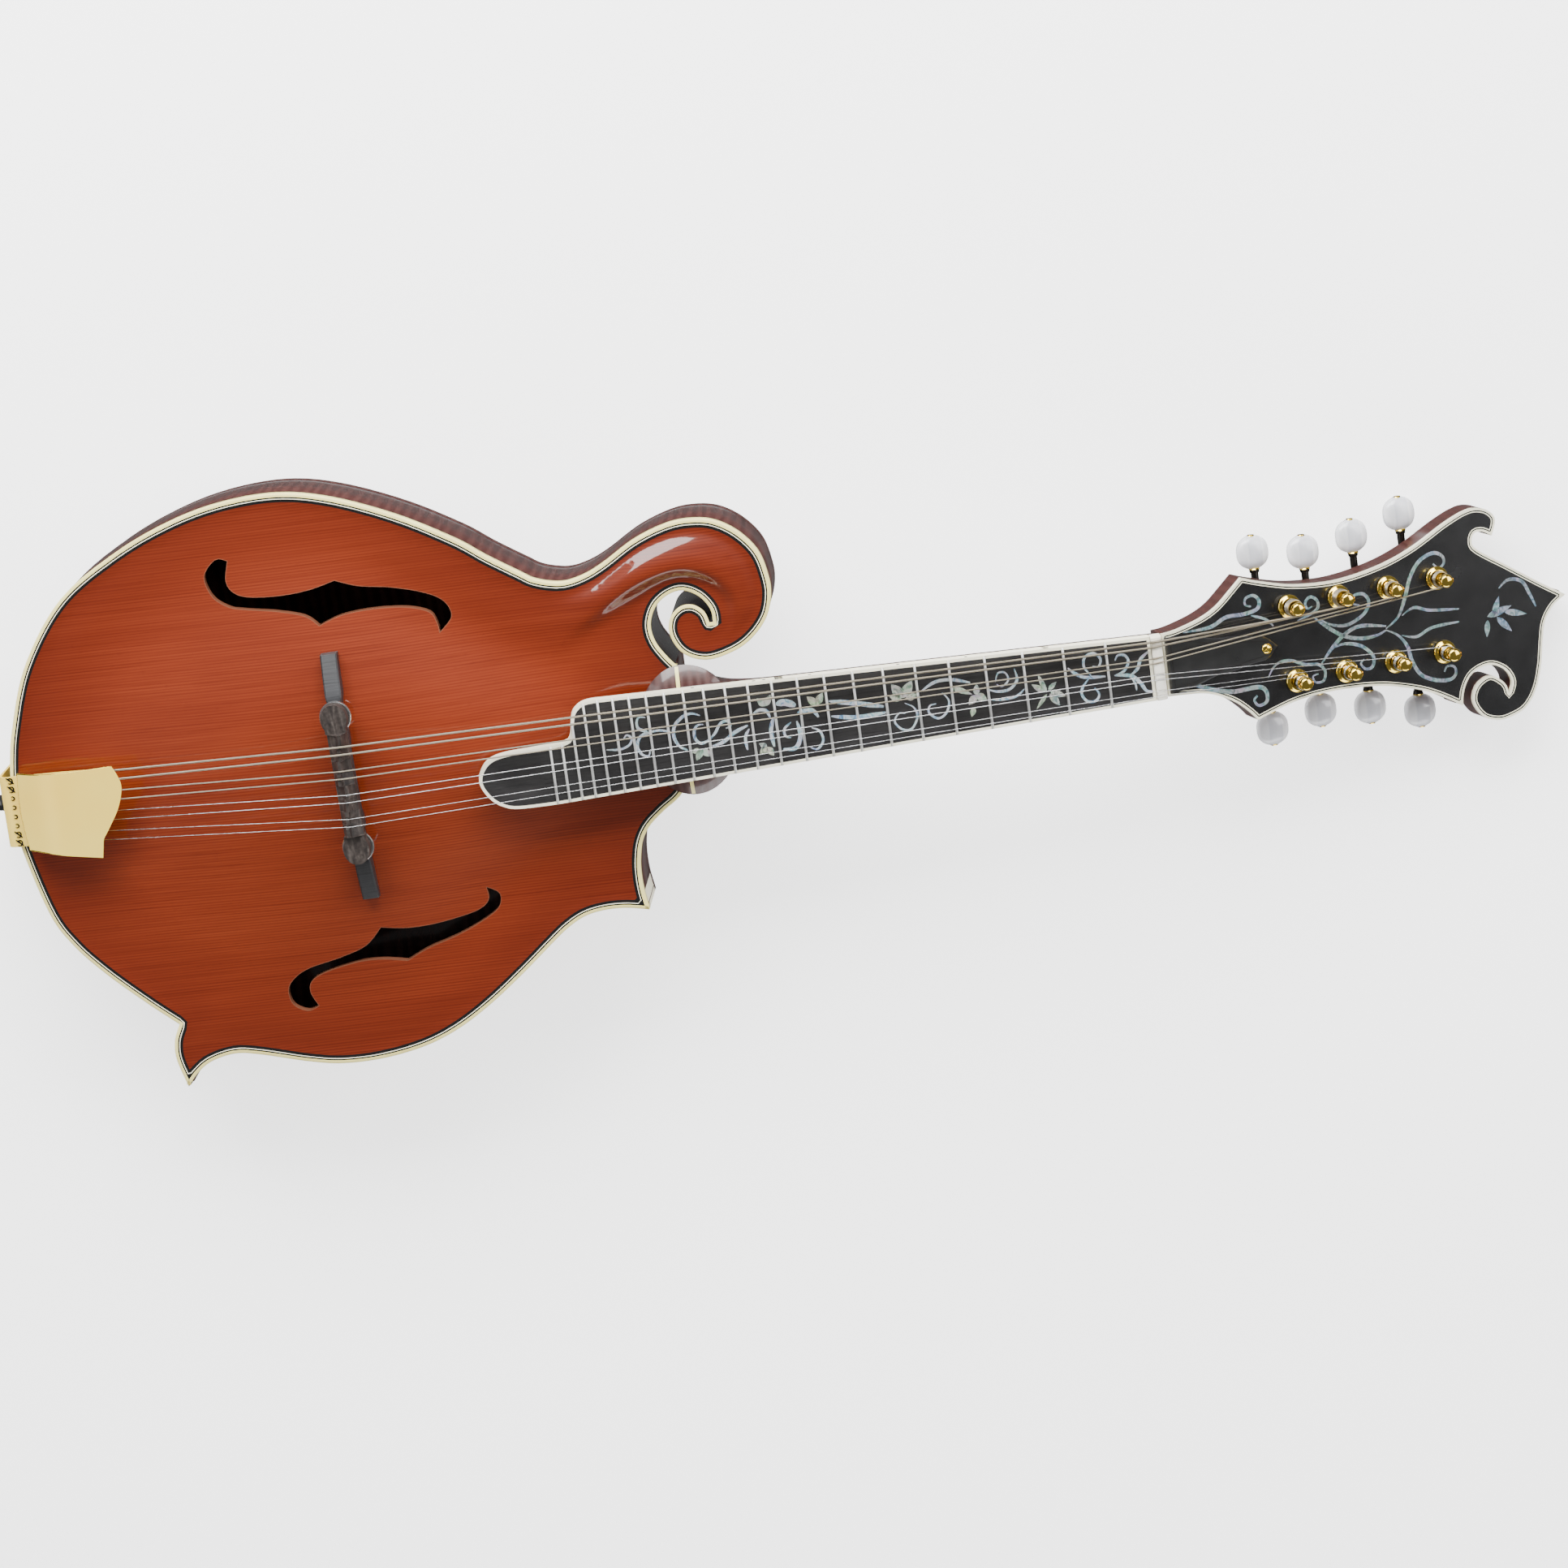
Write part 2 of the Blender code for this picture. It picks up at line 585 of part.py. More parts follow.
def heel_depth(u):
    """Depth of the neck below the fingerboard: a shallow shaft that drops into the heel and its level foot."""
    shaft = 15.5 - 2.0 * max(0.0, u) / NUT_U
    t = min(1.0, max(0.0, (HEEL_START - u) / (HEEL_START - HEEL_FOOT)))
    return shaft + HEEL_DROP * t ** 2.6


def neck_ring(u, top, half, depth):
    """One section of the neck. Near the joint it leans, so that the heel's face stands square.

    Nothing reaches below the level of the back's edge, where the heel cap lies.
    """
    lean = math.tan(NECK_ANGLE) * max(0.0, 1.0 - max(0.0, u) / HEEL_START)
    floor = GAP - RIM_HEIGHT - BOARD_HEIGHT + u * math.sin(NECK_ANGLE)
    floor /= math.cos(NECK_ANGLE) + lean * math.sin(NECK_ANGLE)
    ring = [(u, half, top)]
    points = 10
    for k in range(points + 1):
        angle = math.pi * k / points
        y = half * math.copysign(abs(math.cos(angle)) ** 0.85, math.cos(angle))
        w = max(top - 1.0 - (depth - 1.0) * math.sin(angle) ** 0.8, floor)
        ring.append((u - w * lean, y, w))
    ring.append((u, -half, top))
    return ring


def make_neck(instrument, neck_frame, head_frame):
    top = -BOARD_THICKNESS - GAP
    rings = []
    for u in (-1.4, 6.0, HEEL_FOOT, 17.0, 21.0, 26.0, 33.0, HEEL_START, 95.0, 150.0, 196.0, NUT_U + NUT_WIDTH):
        rings.append(neck_ring(u, top, board_half(u) - GAP, heel_depth(u)))
    rings.append(neck_ring(217.0, top - 3.6, 13.0, 12.5))
    rings.append(neck_ring(228.0, top - 6.6, 10.0, 9.5))
    neck = add_object("neck", loft_mesh("neck", rings), "maple", neck_frame, smooth=True)

    core = flat_mesh("head_core", [outline(HEAD_RUNS)], -HEAD_THICKNESS, -OVERLAY - GAP)
    cut(neck, add_cutter("head_core", core, head_frame), "UNION")
    tenon = box_mesh("tenon", (282.5, -11.0, -36.0), (303.0, 11.0, -5.8))
    cut(neck, add_cutter("tenon", tenon, instrument), "UNION")
    channel = box_mesh("rod_channel", (6.0, -3.2, -13.2), (NUT_U + NUT_WIDTH + 1.0, 3.2, 2.0))
    cut(neck, add_cutter("rod_channel", channel, neck_frame))
    pocket = box_mesh("nut_pocket", (NUT_U + NUT_WIDTH + 0.3, -4.6, -14.3), (224.0, 4.6, 6.0))
    pocket = add_cutter("nut_pocket", pocket, neck_frame)
    cut(neck, pocket)

    overlay = flat_mesh("headstock_overlay", [outline(HEAD_RUNS)], -OVERLAY, 0.0)
    overlay = add_object("headstock_overlay", overlay, "ebony", head_frame)
    cut(overlay, pocket)
    for number, (u, y) in enumerate(post_places()):
        bore = add_cutter("post_bore_%d" % number, rod_mesh("post_bore", 3.7, -30.0, 10.0, 8), head_frame,
                          at(u, y, 0.0))
        cut(neck, bore)
        cut(overlay, bore)

    rod = rod_mesh("truss_rod", 2.2, 8.0, 218.0, 12)
    lay = at(0.0, 0.0, ROD_W) @ Matrix.Rotation(math.pi / 2, 4, "Y")
    add_object("truss_rod", rod, "steel", neck_frame, lay, smooth=True)
    nut = turned_mesh("truss_rod_nut", [(2.6, 216.4), (3.4, 216.4), (3.7, 215.8), (3.7, 210.8),
                                        (2.6, 210.8), (2.6, 216.4)], 6)
    add_object("truss_rod_nut", nut, "gold", neck_frame, lay)

    cover = flat_mesh("truss_rod_cover", [outline(COVER_RUNS)], GAP, GAP + 1.6)
    cover = add_object("truss_rod_cover", cover, "black_plastic", head_frame)
    screw_bore = add_cutter("cover_screw_bore", rod_mesh("cover_screw_bore", 1.3, -8.0, 8.0, 12), head_frame,
                            at(48.0, -0.8, 0.0))
    cut(cover, screw_bore)
    cut(overlay, screw_bore)
    cut(neck, screw_bore)
    screw = turned_mesh("truss_cover_screw", [(0.0, 3.0), (1.4, 2.8), (2.3, 2.2), (1.0, 2.1),
                                              (1.0, -6.0), (0.0, -7.0)], 12)
    add_object("truss_cover_screw", screw, "gold", head_frame, at(48.0, -0.8, 0.05), smooth=True)

    cap = [(0.3, -7.5), (13.0, -6.0), (15.5, 0.0), (13.0, 6.0), (0.3, 7.5)]
    cap = [(x + JOINT_X - 1.5, y) for x, y in cap]
    add_object("heel_cap", flat_mesh("heel_cap", [cap], -RIM_HEIGHT - 1.8, -RIM_HEIGHT - GAP), "ebony", instrument)


def make_fingerboard(instrument, neck_frame):
    board = flat_mesh("fingerboard", [outline(BOARD_RUNS)], -BOARD_THICKNESS, 0.0)
    add_object("fingerboard", board, "ebony", neck_frame)

    nut = []
    for y in (-14.2, -9.0, 0.0, 9.0, 14.2):
        crown = 1.9 - 0.4 * (y / 14.2) ** 2
        nut.append([(NUT_U + 0.1, y, -BOARD_THICKNESS), (NUT_U + NUT_WIDTH - 0.1, y, -BOARD_THICKNESS),
                    (NUT_U + NUT_WIDTH - 0.1, y, crown - 1.6), (NUT_U + 1.6, y, crown),
                    (NUT_U + 0.1, y, crown)])
    add_object("nut", loft_mesh("nut", nut), "bone", neck_frame)

    rings = []
    board_drop = (BOARD_THICKNESS + GAP) / math.cos(NECK_ANGLE)
    for x in (232.0, 245.0, RISER_STEP_X - 2.5, RISER_STEP_X + 2.5, 266.0, 277.0, 288.0, 298.6):
        under = BOARD_HEIGHT + (JOINT_X - x) * math.tan(NECK_ANGLE) - board_drop
        bass = RISER_HALF if x > RISER_STEP_X else RISER_BASS_TONGUE
        stations = [-RISER_HALF + (bass + RISER_HALF) * k / 4 for k in range(5)]
        ring = [(x, y, top_z(x, y) + 0.7) for y in stations]
        ring += [(x, bass, under), (x, -RISER_HALF, under)]
        rings.append(ring)
    add_object("fingerboard_riser", loft_mesh("fingerboard_riser", rings), "maple", instrument)


# ---------------------------------------------------------------- bridge

def make_bridge(instrument):
    turn = at(BRIDGE_X, 0.0, 0.0) @ Matrix.Rotation(BRIDGE_TURN, 4, "Z")
    rings = []
    for y in (-55.0, -53.0, -44.0, -36.0, -24.0, -18.0, -9.0, 0.0, 9.0, 18.0, 24.0, 36.0, 44.0, 53.0, 55.0):
        half = 3.6 if abs(y) < 54.0 else 3.2
        ground = max(top_z(BRIDGE_X - 5.0, y), top_z(BRIDGE_X + 5.0, y), top_z(BRIDGE_X, y)) + 0.45
        foot = ground + (3.0 if abs(y) < 16.0 else 0.0)
        crown = BASE_TOP - 6.5 * max(0.0, (abs(y) - 36.0) / 19.0) ** 1.1
        rings.append([(-half, y, foot), (half, y, foot), (half, y, crown - 1.0), (half - 1.2, y, crown),
                      (1.2 - half, y, crown), (-half, y, crown - 1.0)])
    base = add_object("bridge_base", loft_mesh("bridge_base", rings), "ebony", instrument, turn)

    rings = []
    for y in (-35.5, -33.5, -29.0, -24.0, -20.0, -10.0, 0.0, 10.0, 20.0, 24.0, 29.0, 33.5, 35.5):
        end = abs(y) > 22.0
        half = 5.6 * math.sqrt(max(0.12, 1.0 - ((abs(y) - 29.0) / 7.0) ** 2)) if end else 4.2
        top = SADDLE_TOP - 0.8 if abs(y) < 22.0 else SADDLE_TOP - 3.6
        crest = 1.8 if abs(y) < 22.0 else half - 0.8
        rings.append([(-half, y, SADDLE_BOTTOM), (half, y, SADDLE_BOTTOM), (half, y, SADDLE_TOP - 5.0),
                      (crest, y, top), (-crest, y, top), (-half, y, SADDLE_TOP - 5.0)])
    saddle = add_object("bridge_saddle", loft_mesh("bridge_saddle", rings), "ebony", instrument, turn)

    for side, y in (("bass", BRIDGE_POST_Y), ("treble", -BRIDGE_POST_Y)):
        spot = turn @ at(0.0, y, 0.0)
        bore = add_cutter("bridge_bore_" + side, rod_mesh("bridge_bore", 1.9, 17.2, 29.9, 12), instrument, spot)
        cut(base, bore)
        cut(saddle, bore)
        post = rod_mesh("bridge_post_" + side, 1.5, 17.5, 28.3, 12)
        add_object("bridge_post_" + side, post, "steel", instrument, spot, smooth=True)
        wheel = turned_mesh("thumbwheel_" + side, [
            (1.8, WHEEL_THICKNESS), (6.7, WHEEL_THICKNESS), (7.1, WHEEL_THICKNESS - 0.4), (7.1, 0.4),
            (6.7, 0.0), (1.8, 0.0), (1.8, WHEEL_THICKNESS)], 24)
        add_object("thumbwheel_" + side, wheel, "steel", instrument, spot @ at(0.0, 0.0, WHEEL_BOTTOM))


# ---------------------------------------------------------------- tailpiece

def tail_cover_z(x):
    """Underside of the tailpiece cover: it climbs from the tail and levels out over the strings."""
    t = min(1.0, max(0.0, (x - 5.0) / 22.0))
    return 5.6 + 11.6 * math.sin(0.5 * math.pi * t) + 0.05 * max(0.0, x - 27.0)


def make_tailpiece(instrument):
    rings = []
    for x, z in ((-2.4, -34.0), (-2.4, -2.0), (-1.6, 1.2), (0.6, 2.3), (6.0, 2.3), (14.0, 3.0), (26.0, 4.6),
                 (40.0, 7.6)):
        half = 15.8
        thick = (-1.2, 0.0) if x < -2.0 else (0.0, 1.2)
        if x == -1.6:
            thick = (-0.9, 0.8)
        rings.append([(x, -half, z), (x, half, z), (x + thick[0], half, z + thick[1]),
                      (x + thick[0], -half, z + thick[1])])
    base = add_object("tailpiece_base", loft_mesh("tailpiece_base", rings), "gold", instrument)
    bore = at(-2.0, 0.0, PIN_Z) @ Matrix.Rotation(math.pi / 2, 4, "Y")
    cut(base, add_cutter("tailpiece_bore", rod_mesh("tailpiece_bore", 4.3, -8.0, 8.0), instrument, bore))
    for k in range(8):
        y = (3.5 - k) * TAIL_PITCH
        hook = box_mesh("hook_%d" % k, (TAIL_HOOK_X - 5.5, y - 0.7, 2.6), (TAIL_HOOK_X - 3.9, y + 0.7, 8.6))
        cut(base, add_cutter("hook_%d" % k, hook, instrument), "UNION")

    shape = bmesh.new()
    shape.from_mesh(flat_mesh("tail_cover", [outline(TAIL_COVER_RUNS, 10.0)], 0.0, 1.0))
    bmesh.ops.triangulate(shape, faces=shape.faces)
    for station in (9.0, 13.0, 18.0, 24.0):
        bmesh.ops.bisect_plane(shape, geom=shape.verts[:] + shape.edges[:] + shape.faces[:],
                               plane_co=(station * MM, 0.0, 0.0), plane_no=(1.0, 0.0, 0.0))
    for vert in shape.verts:
        vert.co.z += tail_cover_z(vert.co.x / MM) * MM
    add_object("tailpiece_cover", mesh_from_bmesh("tailpiece_cover", shape), "gold", instrument, smooth=True)

    pin = turned_mesh("strap_button", [(0.0, 12.6), (3.0, 12.6), (5.6, 11.6), (6.0, 10.0), (4.6, 8.6), (3.4, 6.0),
                                       (3.6, 4.0), (6.3, 2.3), (6.3, 0.4), (4.0, 0.0), (3.6, -18.0),
                                       (0.0, -18.0)], 12)
    place = at(-3.95, 0.0, PIN_Z) @ Matrix.Rotation(-math.pi / 2, 4, "Y")
    add_object("strap_button", pin, "black_plastic", instrument, place, smooth=True)


# ---------------------------------------------------------------- tuners

def post_places():
    """Post centres in the headstock frame: the bass row first, from the nut outwards."""
    return [(u, POST_ROW_Y + side * POST_ROW_HALF) for side in (1, -1) for u in POST_U]


def gear_profile():
    root = GEAR_RADIUS - 0.75
    crest = GEAR_RADIUS + 0.55
    points = []
    for tooth in range(TEETH):
        middle = math.pi + 2.0 * math.pi * tooth / TEETH
        for offset, radius in ((0.0, crest), (0.5, root)):
            angle = middle + offset * 2.0 * math.pi / TEETH
            points.append((radius * math.cos(angle), radius * math.sin(angle)))
    return points


def worm_rings():
    """Single-start right-hand worm about Z, its root facing +X at the middle of its length."""
    rings = []
    samples = 5
    turns = 2.4
    sides = SHAFT_SIDES
    half = round(0.5 * turns * samples)
    for k in range(-half, half + 1):
        height = k * WORM_PITCH / samples
        ring = []
        for j in range(sides):
            phase = (height / WORM_PITCH - j / sides) % 1.0
            crest = 1.0 - min(1.0, max(0.0, (abs(phase - 0.5) - 0.06) / 0.13))
            radius = WORM_RADIUS - 0.75 + 1.25 * crest
            angle = 2.0 * math.pi * j / sides
            ring.append((radius * math.cos(angle), radius * math.sin(angle), height))
        rings.append(ring)
    return rings


def circle_ring(radius, height, sides=SHAFT_SIDES):
    return [(radius * math.cos(2.0 * math.pi * j / sides), radius * math.sin(2.0 * math.pi * j / sides), height)
            for j in range(sides)]


def button_rings(reach):
    """The shaft outwards from the worm and the oblong button on its end."""
    low = reach - 7.7
    rings = [circle_ring(1.35, low - 1.4), circle_ring(2.2, low - 1.2), circle_ring(2.4, low)]
    for share, scale in ((0.0, 0.45), (0.10, 0.80), (0.35, 1.0), (0.65, 1.0), (0.90, 0.80), (1.0, 0.45)):
        ring = []
        for j in range(SHAFT_SIDES):
            angle = 2.0 * math.pi * j / SHAFT_SIDES
            ring.append((7.1 * scale * math.cos(angle), 3.7 * scale * math.sin(angle), low + 15.4 * share + 0.1))
        rings.append(ring)
    return rings


def make_tuners(head_frame):
    for side, name in ((1, "bass"), (-1, "treble")):
        row = POST_ROW_Y + side * POST_ROW_HALF
        low = TUNER_PLATE_TOP - TUNER_PLATE_THICKNESS
        plate = box_mesh("tuner_plate_" + name, (POST_U[0] - 12.5, row - 6.6, low),
                         (POST_U[3] + 6.5, row + 6.6, TUNER_PLATE_TOP))
        plate = add_object("tuner_plate_" + name, plate, "gold", head_frame)
        for number, u in enumerate(POST_U):
            label = "%s_%d" % (name, number + 1)
            hole = add_cutter("plate_hole_" + label, rod_mesh("plate_hole", 3.3, -20.0, -10.0, 8), head_frame,
                              at(u, row, 0.0))
            cut(plate, hole)
            for end in (-1, 1):
                bracket = box_mesh("bracket", (u - WORM_CENTRES - 2.4, row + end * 4.3 - 0.8, WORM_W - 2.2),
                                   (u - WORM_CENTRES + 2.4, row + end * 4.3 + 0.8, low + 0.4))
                cut(plate, add_cutter("bracket_%s_%d" % (label, end), bracket, head_frame), "UNION")
            axle = at(u - WORM_CENTRES, row, WORM_W) @ Matrix.Rotation(-side * math.pi / 2, 4, "X")
            bore = add_cutter("shaft_bore_" + label, rod_mesh("shaft_bore", 1.6, -9.0, 9.0, 8), head_frame, axle)
            cut(plate, bore)
            make_post(label, head_frame, u, row)
            make_button(label, head_frame, axle, BUTTON_REACH[number])


def make_post(label, head_frame, u, row):
    name = "string_post_" + label
    post = turned_mesh(name, [(0.0, 12.5), (3.0, 12.0), (3.0, -13.0), (2.6, -13.4), (2.6, -21.0), (0.0, -21.0)],
                       SHAFT_SIDES)
    post = add_object(name, post, "gold", head_frame, at(u, row, 0.0), smooth=True)
    gear = flat_mesh("gear", [gear_profile()], WORM_W - 1.3, WORM_W + 1.3)
    cut(post, add_cutter("gear_" + label, gear, head_frame, at(u, row, 0.0)), "UNION")


def make_button(label, head_frame, axle, reach):
    name = "tuner_button_" + label
    rings = [circle_ring(1.15, -6.2), circle_ring(1.15, -2.6)]
    rings += worm_rings()
    rings += [circle_ring(1.15, 2.6)]
    rings += button_rings(reach)
    mesh = loft_mesh(name, rings)
    add_object(name, mesh, "pearloid", head_frame, axle, smooth=True)


# ---------------------------------------------------------------- strings

def string_places():
    """For each string: y at the tailpiece, y at the bridge, y at the nut, and its post."""
    posts = post_places()
    order = [posts[0], posts[1], posts[2], posts[3], posts[7], posts[6], posts[5], posts[4]]
    places = []
    for k in range(8):
        pair = 1.5 - k // 2
        half = 0.5 if k % 2 == 0 else -0.5
        places.append(((3.5 - k) * TAIL_PITCH, pair * PAIR_PITCH_BRIDGE + half * PAIR_GAP_BRIDGE,
                       pair * PAIR_PITCH_NUT + half * PAIR_GAP_NUT, order[k]))
    return places


def make_strings(instrument, neck, neck_head):
    for k, (tail_y, bridge_y, nut_y, post) in enumerate(string_places()):
        radius = STRING_RADIUS[k]
        bridge_x = BRIDGE_X - bridge_y * math.tan(BRIDGE_TURN)
        along = -(JOINT_X - bridge_x) / math.cos(NECK_ANGLE)
        bridge_z = (neck @ Vector((along * MM, 0.0, ACTION_BRIDGE * MM))).z / MM + radius
        nut_u = NUT_U + 1.0
        nut_point = neck @ Vector((nut_u * MM, nut_y * MM, (ACTION_NUT + radius) * MM))
        side = 1.0 if post[1] > 0.0 else -1.0
        reach = POST_RADIUS + radius + 0.15
        end = neck_head @ Vector(((post[0] + 0.6) * MM, (post[1] - side * reach) * MM, WRAP_W[post[0]] * MM))
        points = [(TAIL_HOOK_X - 3.0, tail_y, TAIL_HOOK_Z - 2.0), (TAIL_HOOK_X, tail_y, TAIL_HOOK_Z),
                  (bridge_x, bridge_y, bridge_z), tuple(nut_point / MM), tuple(end / MM)]
        name = "string_" + STRING_NAMES[k]
        finish = "bronze" if k < 4 else "steel"
        add_object(name, wire_mesh(name, points, radius), finish, instrument, smooth=True)


def main():
    for item in list(bpy.data.objects):
        bpy.data.objects.remove(item, do_unlink=True)
    instrument, neck_frame, head_frame, neck, neck_head = make_frames()
    make_body(instrument)
    make_neck(instrument, neck_frame, head_frame)
    make_fingerboard(instrument, neck_frame)
    make_bridge(instrument)
    make_tailpiece(instrument)
    make_tuners(head_frame)
    make_strings(instrument, neck, neck_head)


main()
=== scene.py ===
"""Looks of the F-style mandolin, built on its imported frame.

Lengths are millimetres until a mesh is made. The instrument frame has X from the tail to the
headstock, Y to the bass side and Z out of the soundboard, with Z = 0 on the rim's top edge. The neck
and the headstock have tilted frames of their own, as in the model.
"""

import math

import bmesh
import bpy
import numpy as np
from mathutils import Matrix, Vector
from mathutils.geometry import delaunay_2d_cdt


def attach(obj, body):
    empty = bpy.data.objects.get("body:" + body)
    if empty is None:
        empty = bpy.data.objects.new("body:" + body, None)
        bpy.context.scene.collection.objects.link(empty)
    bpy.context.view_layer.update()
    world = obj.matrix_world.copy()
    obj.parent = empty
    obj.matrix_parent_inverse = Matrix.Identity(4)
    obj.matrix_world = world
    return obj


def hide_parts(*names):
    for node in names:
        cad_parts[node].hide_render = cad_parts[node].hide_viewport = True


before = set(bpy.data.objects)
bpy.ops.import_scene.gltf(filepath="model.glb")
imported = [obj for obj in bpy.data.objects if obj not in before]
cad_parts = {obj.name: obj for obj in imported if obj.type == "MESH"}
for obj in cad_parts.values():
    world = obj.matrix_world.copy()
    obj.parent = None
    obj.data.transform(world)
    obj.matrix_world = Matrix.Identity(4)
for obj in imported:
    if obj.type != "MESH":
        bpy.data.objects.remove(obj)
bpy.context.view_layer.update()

MM = 0.001

# Body
RIM_HEIGHT = 42.0
PLATE_EDGE = 5.0
BINDING_WIDTH = 1.5
RIB_THICKNESS = 2.3
TOP_ARCH = 15.0
BACK_ARCH = 12.0
TOP_THICKNESS = 4.3
ARCH_CENTRE = (150.0, -2.0)
ARCH_HALF_LENGTH = 142.0
PURFLING_END = 3.7
SLOT_BINDING = -1.1            # underside of the binding inside the scroll's slot
PIN_Z = -21.0

# Neck and headstock
JOINT_X = 301.5
SCALE_LENGTH = 352.4
BOARD_HEIGHT = 13.0
NECK_ANGLE = math.radians(6.5)
NUT_U = 204.2
NUT_WIDTH = 4.8
BOARD_THICKNESS = 6.0
BOARD_HALF_NUT = 14.2
BOARD_HALF_FRET_24 = 22.0
FRET_24 = 264.3
HEEL_FOOT = 14.0
HEEL_START = 43.0
HEEL_DROP = 35.2
HEAD_ANGLE = math.radians(13.5)
HEAD_STEP = 3.0
HEAD_THICKNESS = 14.3
OVERLAY = 2.0
BOARD_BINDING = 1.3
RISER_HALF = 15.0
RISER_BASS_TONGUE = 2.5
RISER_STEP_X = 254.0

# Tuners
POST_U = [61.0 + 23.6 * i for i in range(4)]
POST_ROW_Y = -1.1
POST_ROW_HALF = 16.7
BUTTON_REACH = [23.0, 19.0, 22.0, 28.0]
POST_RADIUS = 3.0
TEETH = 15
MODULE = 0.6
GEAR_RADIUS = MODULE * TEETH / 2
WORM_RADIUS = 2.2
WORM_PITCH = math.pi * MODULE
WORM_CENTRES = GEAR_RADIUS + WORM_RADIUS + 0.1
WORM_W = -18.6
TUNER_PLATE_TOP = -HEAD_THICKNESS - 0.3
TUNER_PLATE_THICKNESS = 0.9

# Bridge
BRIDGE_X = 152.6
BRIDGE_TURN = math.radians(1.4)
BRIDGE_POST_Y = 29.0
SADDLE_TOP = 35.0
SADDLE_BOTTOM = 25.9
WHEEL_BOTTOM = 23.2
WHEEL_THICKNESS = 2.3
BASE_TOP = 21.6

# Strings, bass side first
STRING_RADIUS = [0.5, 0.5, 0.33, 0.33, 0.19, 0.19, 0.14, 0.14]
STRING_NAMES = ["g_low", "g_high", "d_low", "d_high", "a_low", "a_high", "e_low", "e_high"]
PAIR_GAP_BRIDGE = 3.4
PAIR_PITCH_BRIDGE = 10.7
PAIR_GAP_NUT = 2.2
PAIR_PITCH_NUT = 7.3
TAIL_PITCH = 4.2
TAIL_HOOK_X = 17.0
TAIL_HOOK_Z = 9.0
ACTION_NUT = 2.0
ACTION_BRIDGE = 5.4
WRAP_W = {POST_U[0]: 7.9, POST_U[1]: 6.0, POST_U[2]: 7.3, POST_U[3]: 5.8}

# Frames
LYING = (Matrix.Translation((-0.339146, 0.00435, 0.045306))
         @ Matrix.Rotation(-math.radians(3.97), 4, "Y"))
NECK_IN_BODY = (Matrix.Translation((JOINT_X * MM, 0.0, BOARD_HEIGHT * MM))
                @ Matrix.Rotation(NECK_ANGLE, 4, "Y"))
HEAD_IN_NECK = (Matrix.Translation(((NUT_U + NUT_WIDTH) * MM, 0.0, -HEAD_STEP * MM))
                @ Matrix.Rotation(HEAD_ANGLE, 4, "Y"))
NECK = LYING @ NECK_IN_BODY
HEAD = NECK @ HEAD_IN_NECK


# ---------------------------------------------------------------- outlines

# Each outline is a closed chain of runs. A run is smooth, and two runs meet at a corner.
BODY_RUNS = [
    [(299.5, -21.0), (299.5, 19.5), (299.6, 28.8)],
    [(299.6, 28.8), (295.8, 33.5), (291.8, 40.5), (290.8, 48.0), (294.0, 55.5), (300.0, 60.0),
     (306.5, 61.0), (313.0, 57.5), (317.0, 51.5), (317.4, 46.0)],
    [(317.4, 46.0), (316.2, 46.0)],
    [(316.2, 46.0), (314.6, 51.0), (310.0, 54.6), (304.5, 54.6), (299.8, 51.0), (297.9, 45.5),
     (298.9, 39.5), (302.5, 33.8), (308.5, 30.3), (316.0, 29.5), (327.0, 32.6), (335.0, 37.8),
     (341.3, 45.3), (344.2, 54.0), (344.2, 62.5), (341.3, 74.0), (334.0, 83.5), (324.5, 89.8),
     (314.5, 92.0), (303.0, 91.2), (288.0, 86.0), (272.5, 77.0), (263.0, 72.9), (254.0, 71.5),
     (243.7, 73.9), (237.0, 78.0), (224.0, 86.6), (211.0, 96.0), (187.0, 109.5), (160.0, 120.5),
     (137.0, 125.3), (112.0, 124.2), (88.0, 118.5), (62.0, 107.5), (35.5, 90.2), (16.0, 63.7),
     (5.6, 35.8), (1.5, 15.4), (0.6, 0.0), (1.1, -16.0), (8.8, -47.9), (17.2, -63.8),
     (29.5, -78.3), (45.4, -93.6), (58.2, -104.8)],
    [(58.2, -104.8), (55.0, -112.0), (54.6, -121.0), (58.1, -134.0)],
    [(58.1, -134.0), (63.0, -128.3), (70.0, -123.6), (81.0, -121.2), (92.0, -122.9),
     (113.0, -128.6), (128.0, -131.3), (146.0, -131.2), (165.0, -128.0), (181.0, -122.0),
     (197.0, -112.5), (213.0, -100.6), (228.0, -88.4), (236.0, -82.2), (244.0, -77.9),
     (253.0, -76.1), (263.0, -76.3), (273.0, -78.3)],
    [(273.0, -78.3), (271.7, -70.0), (271.4, -62.7), (272.0, -55.4), (274.0, -47.5),
     (278.0, -41.0), (285.0, -35.0), (293.0, -29.3), (299.5, -21.0)],
]

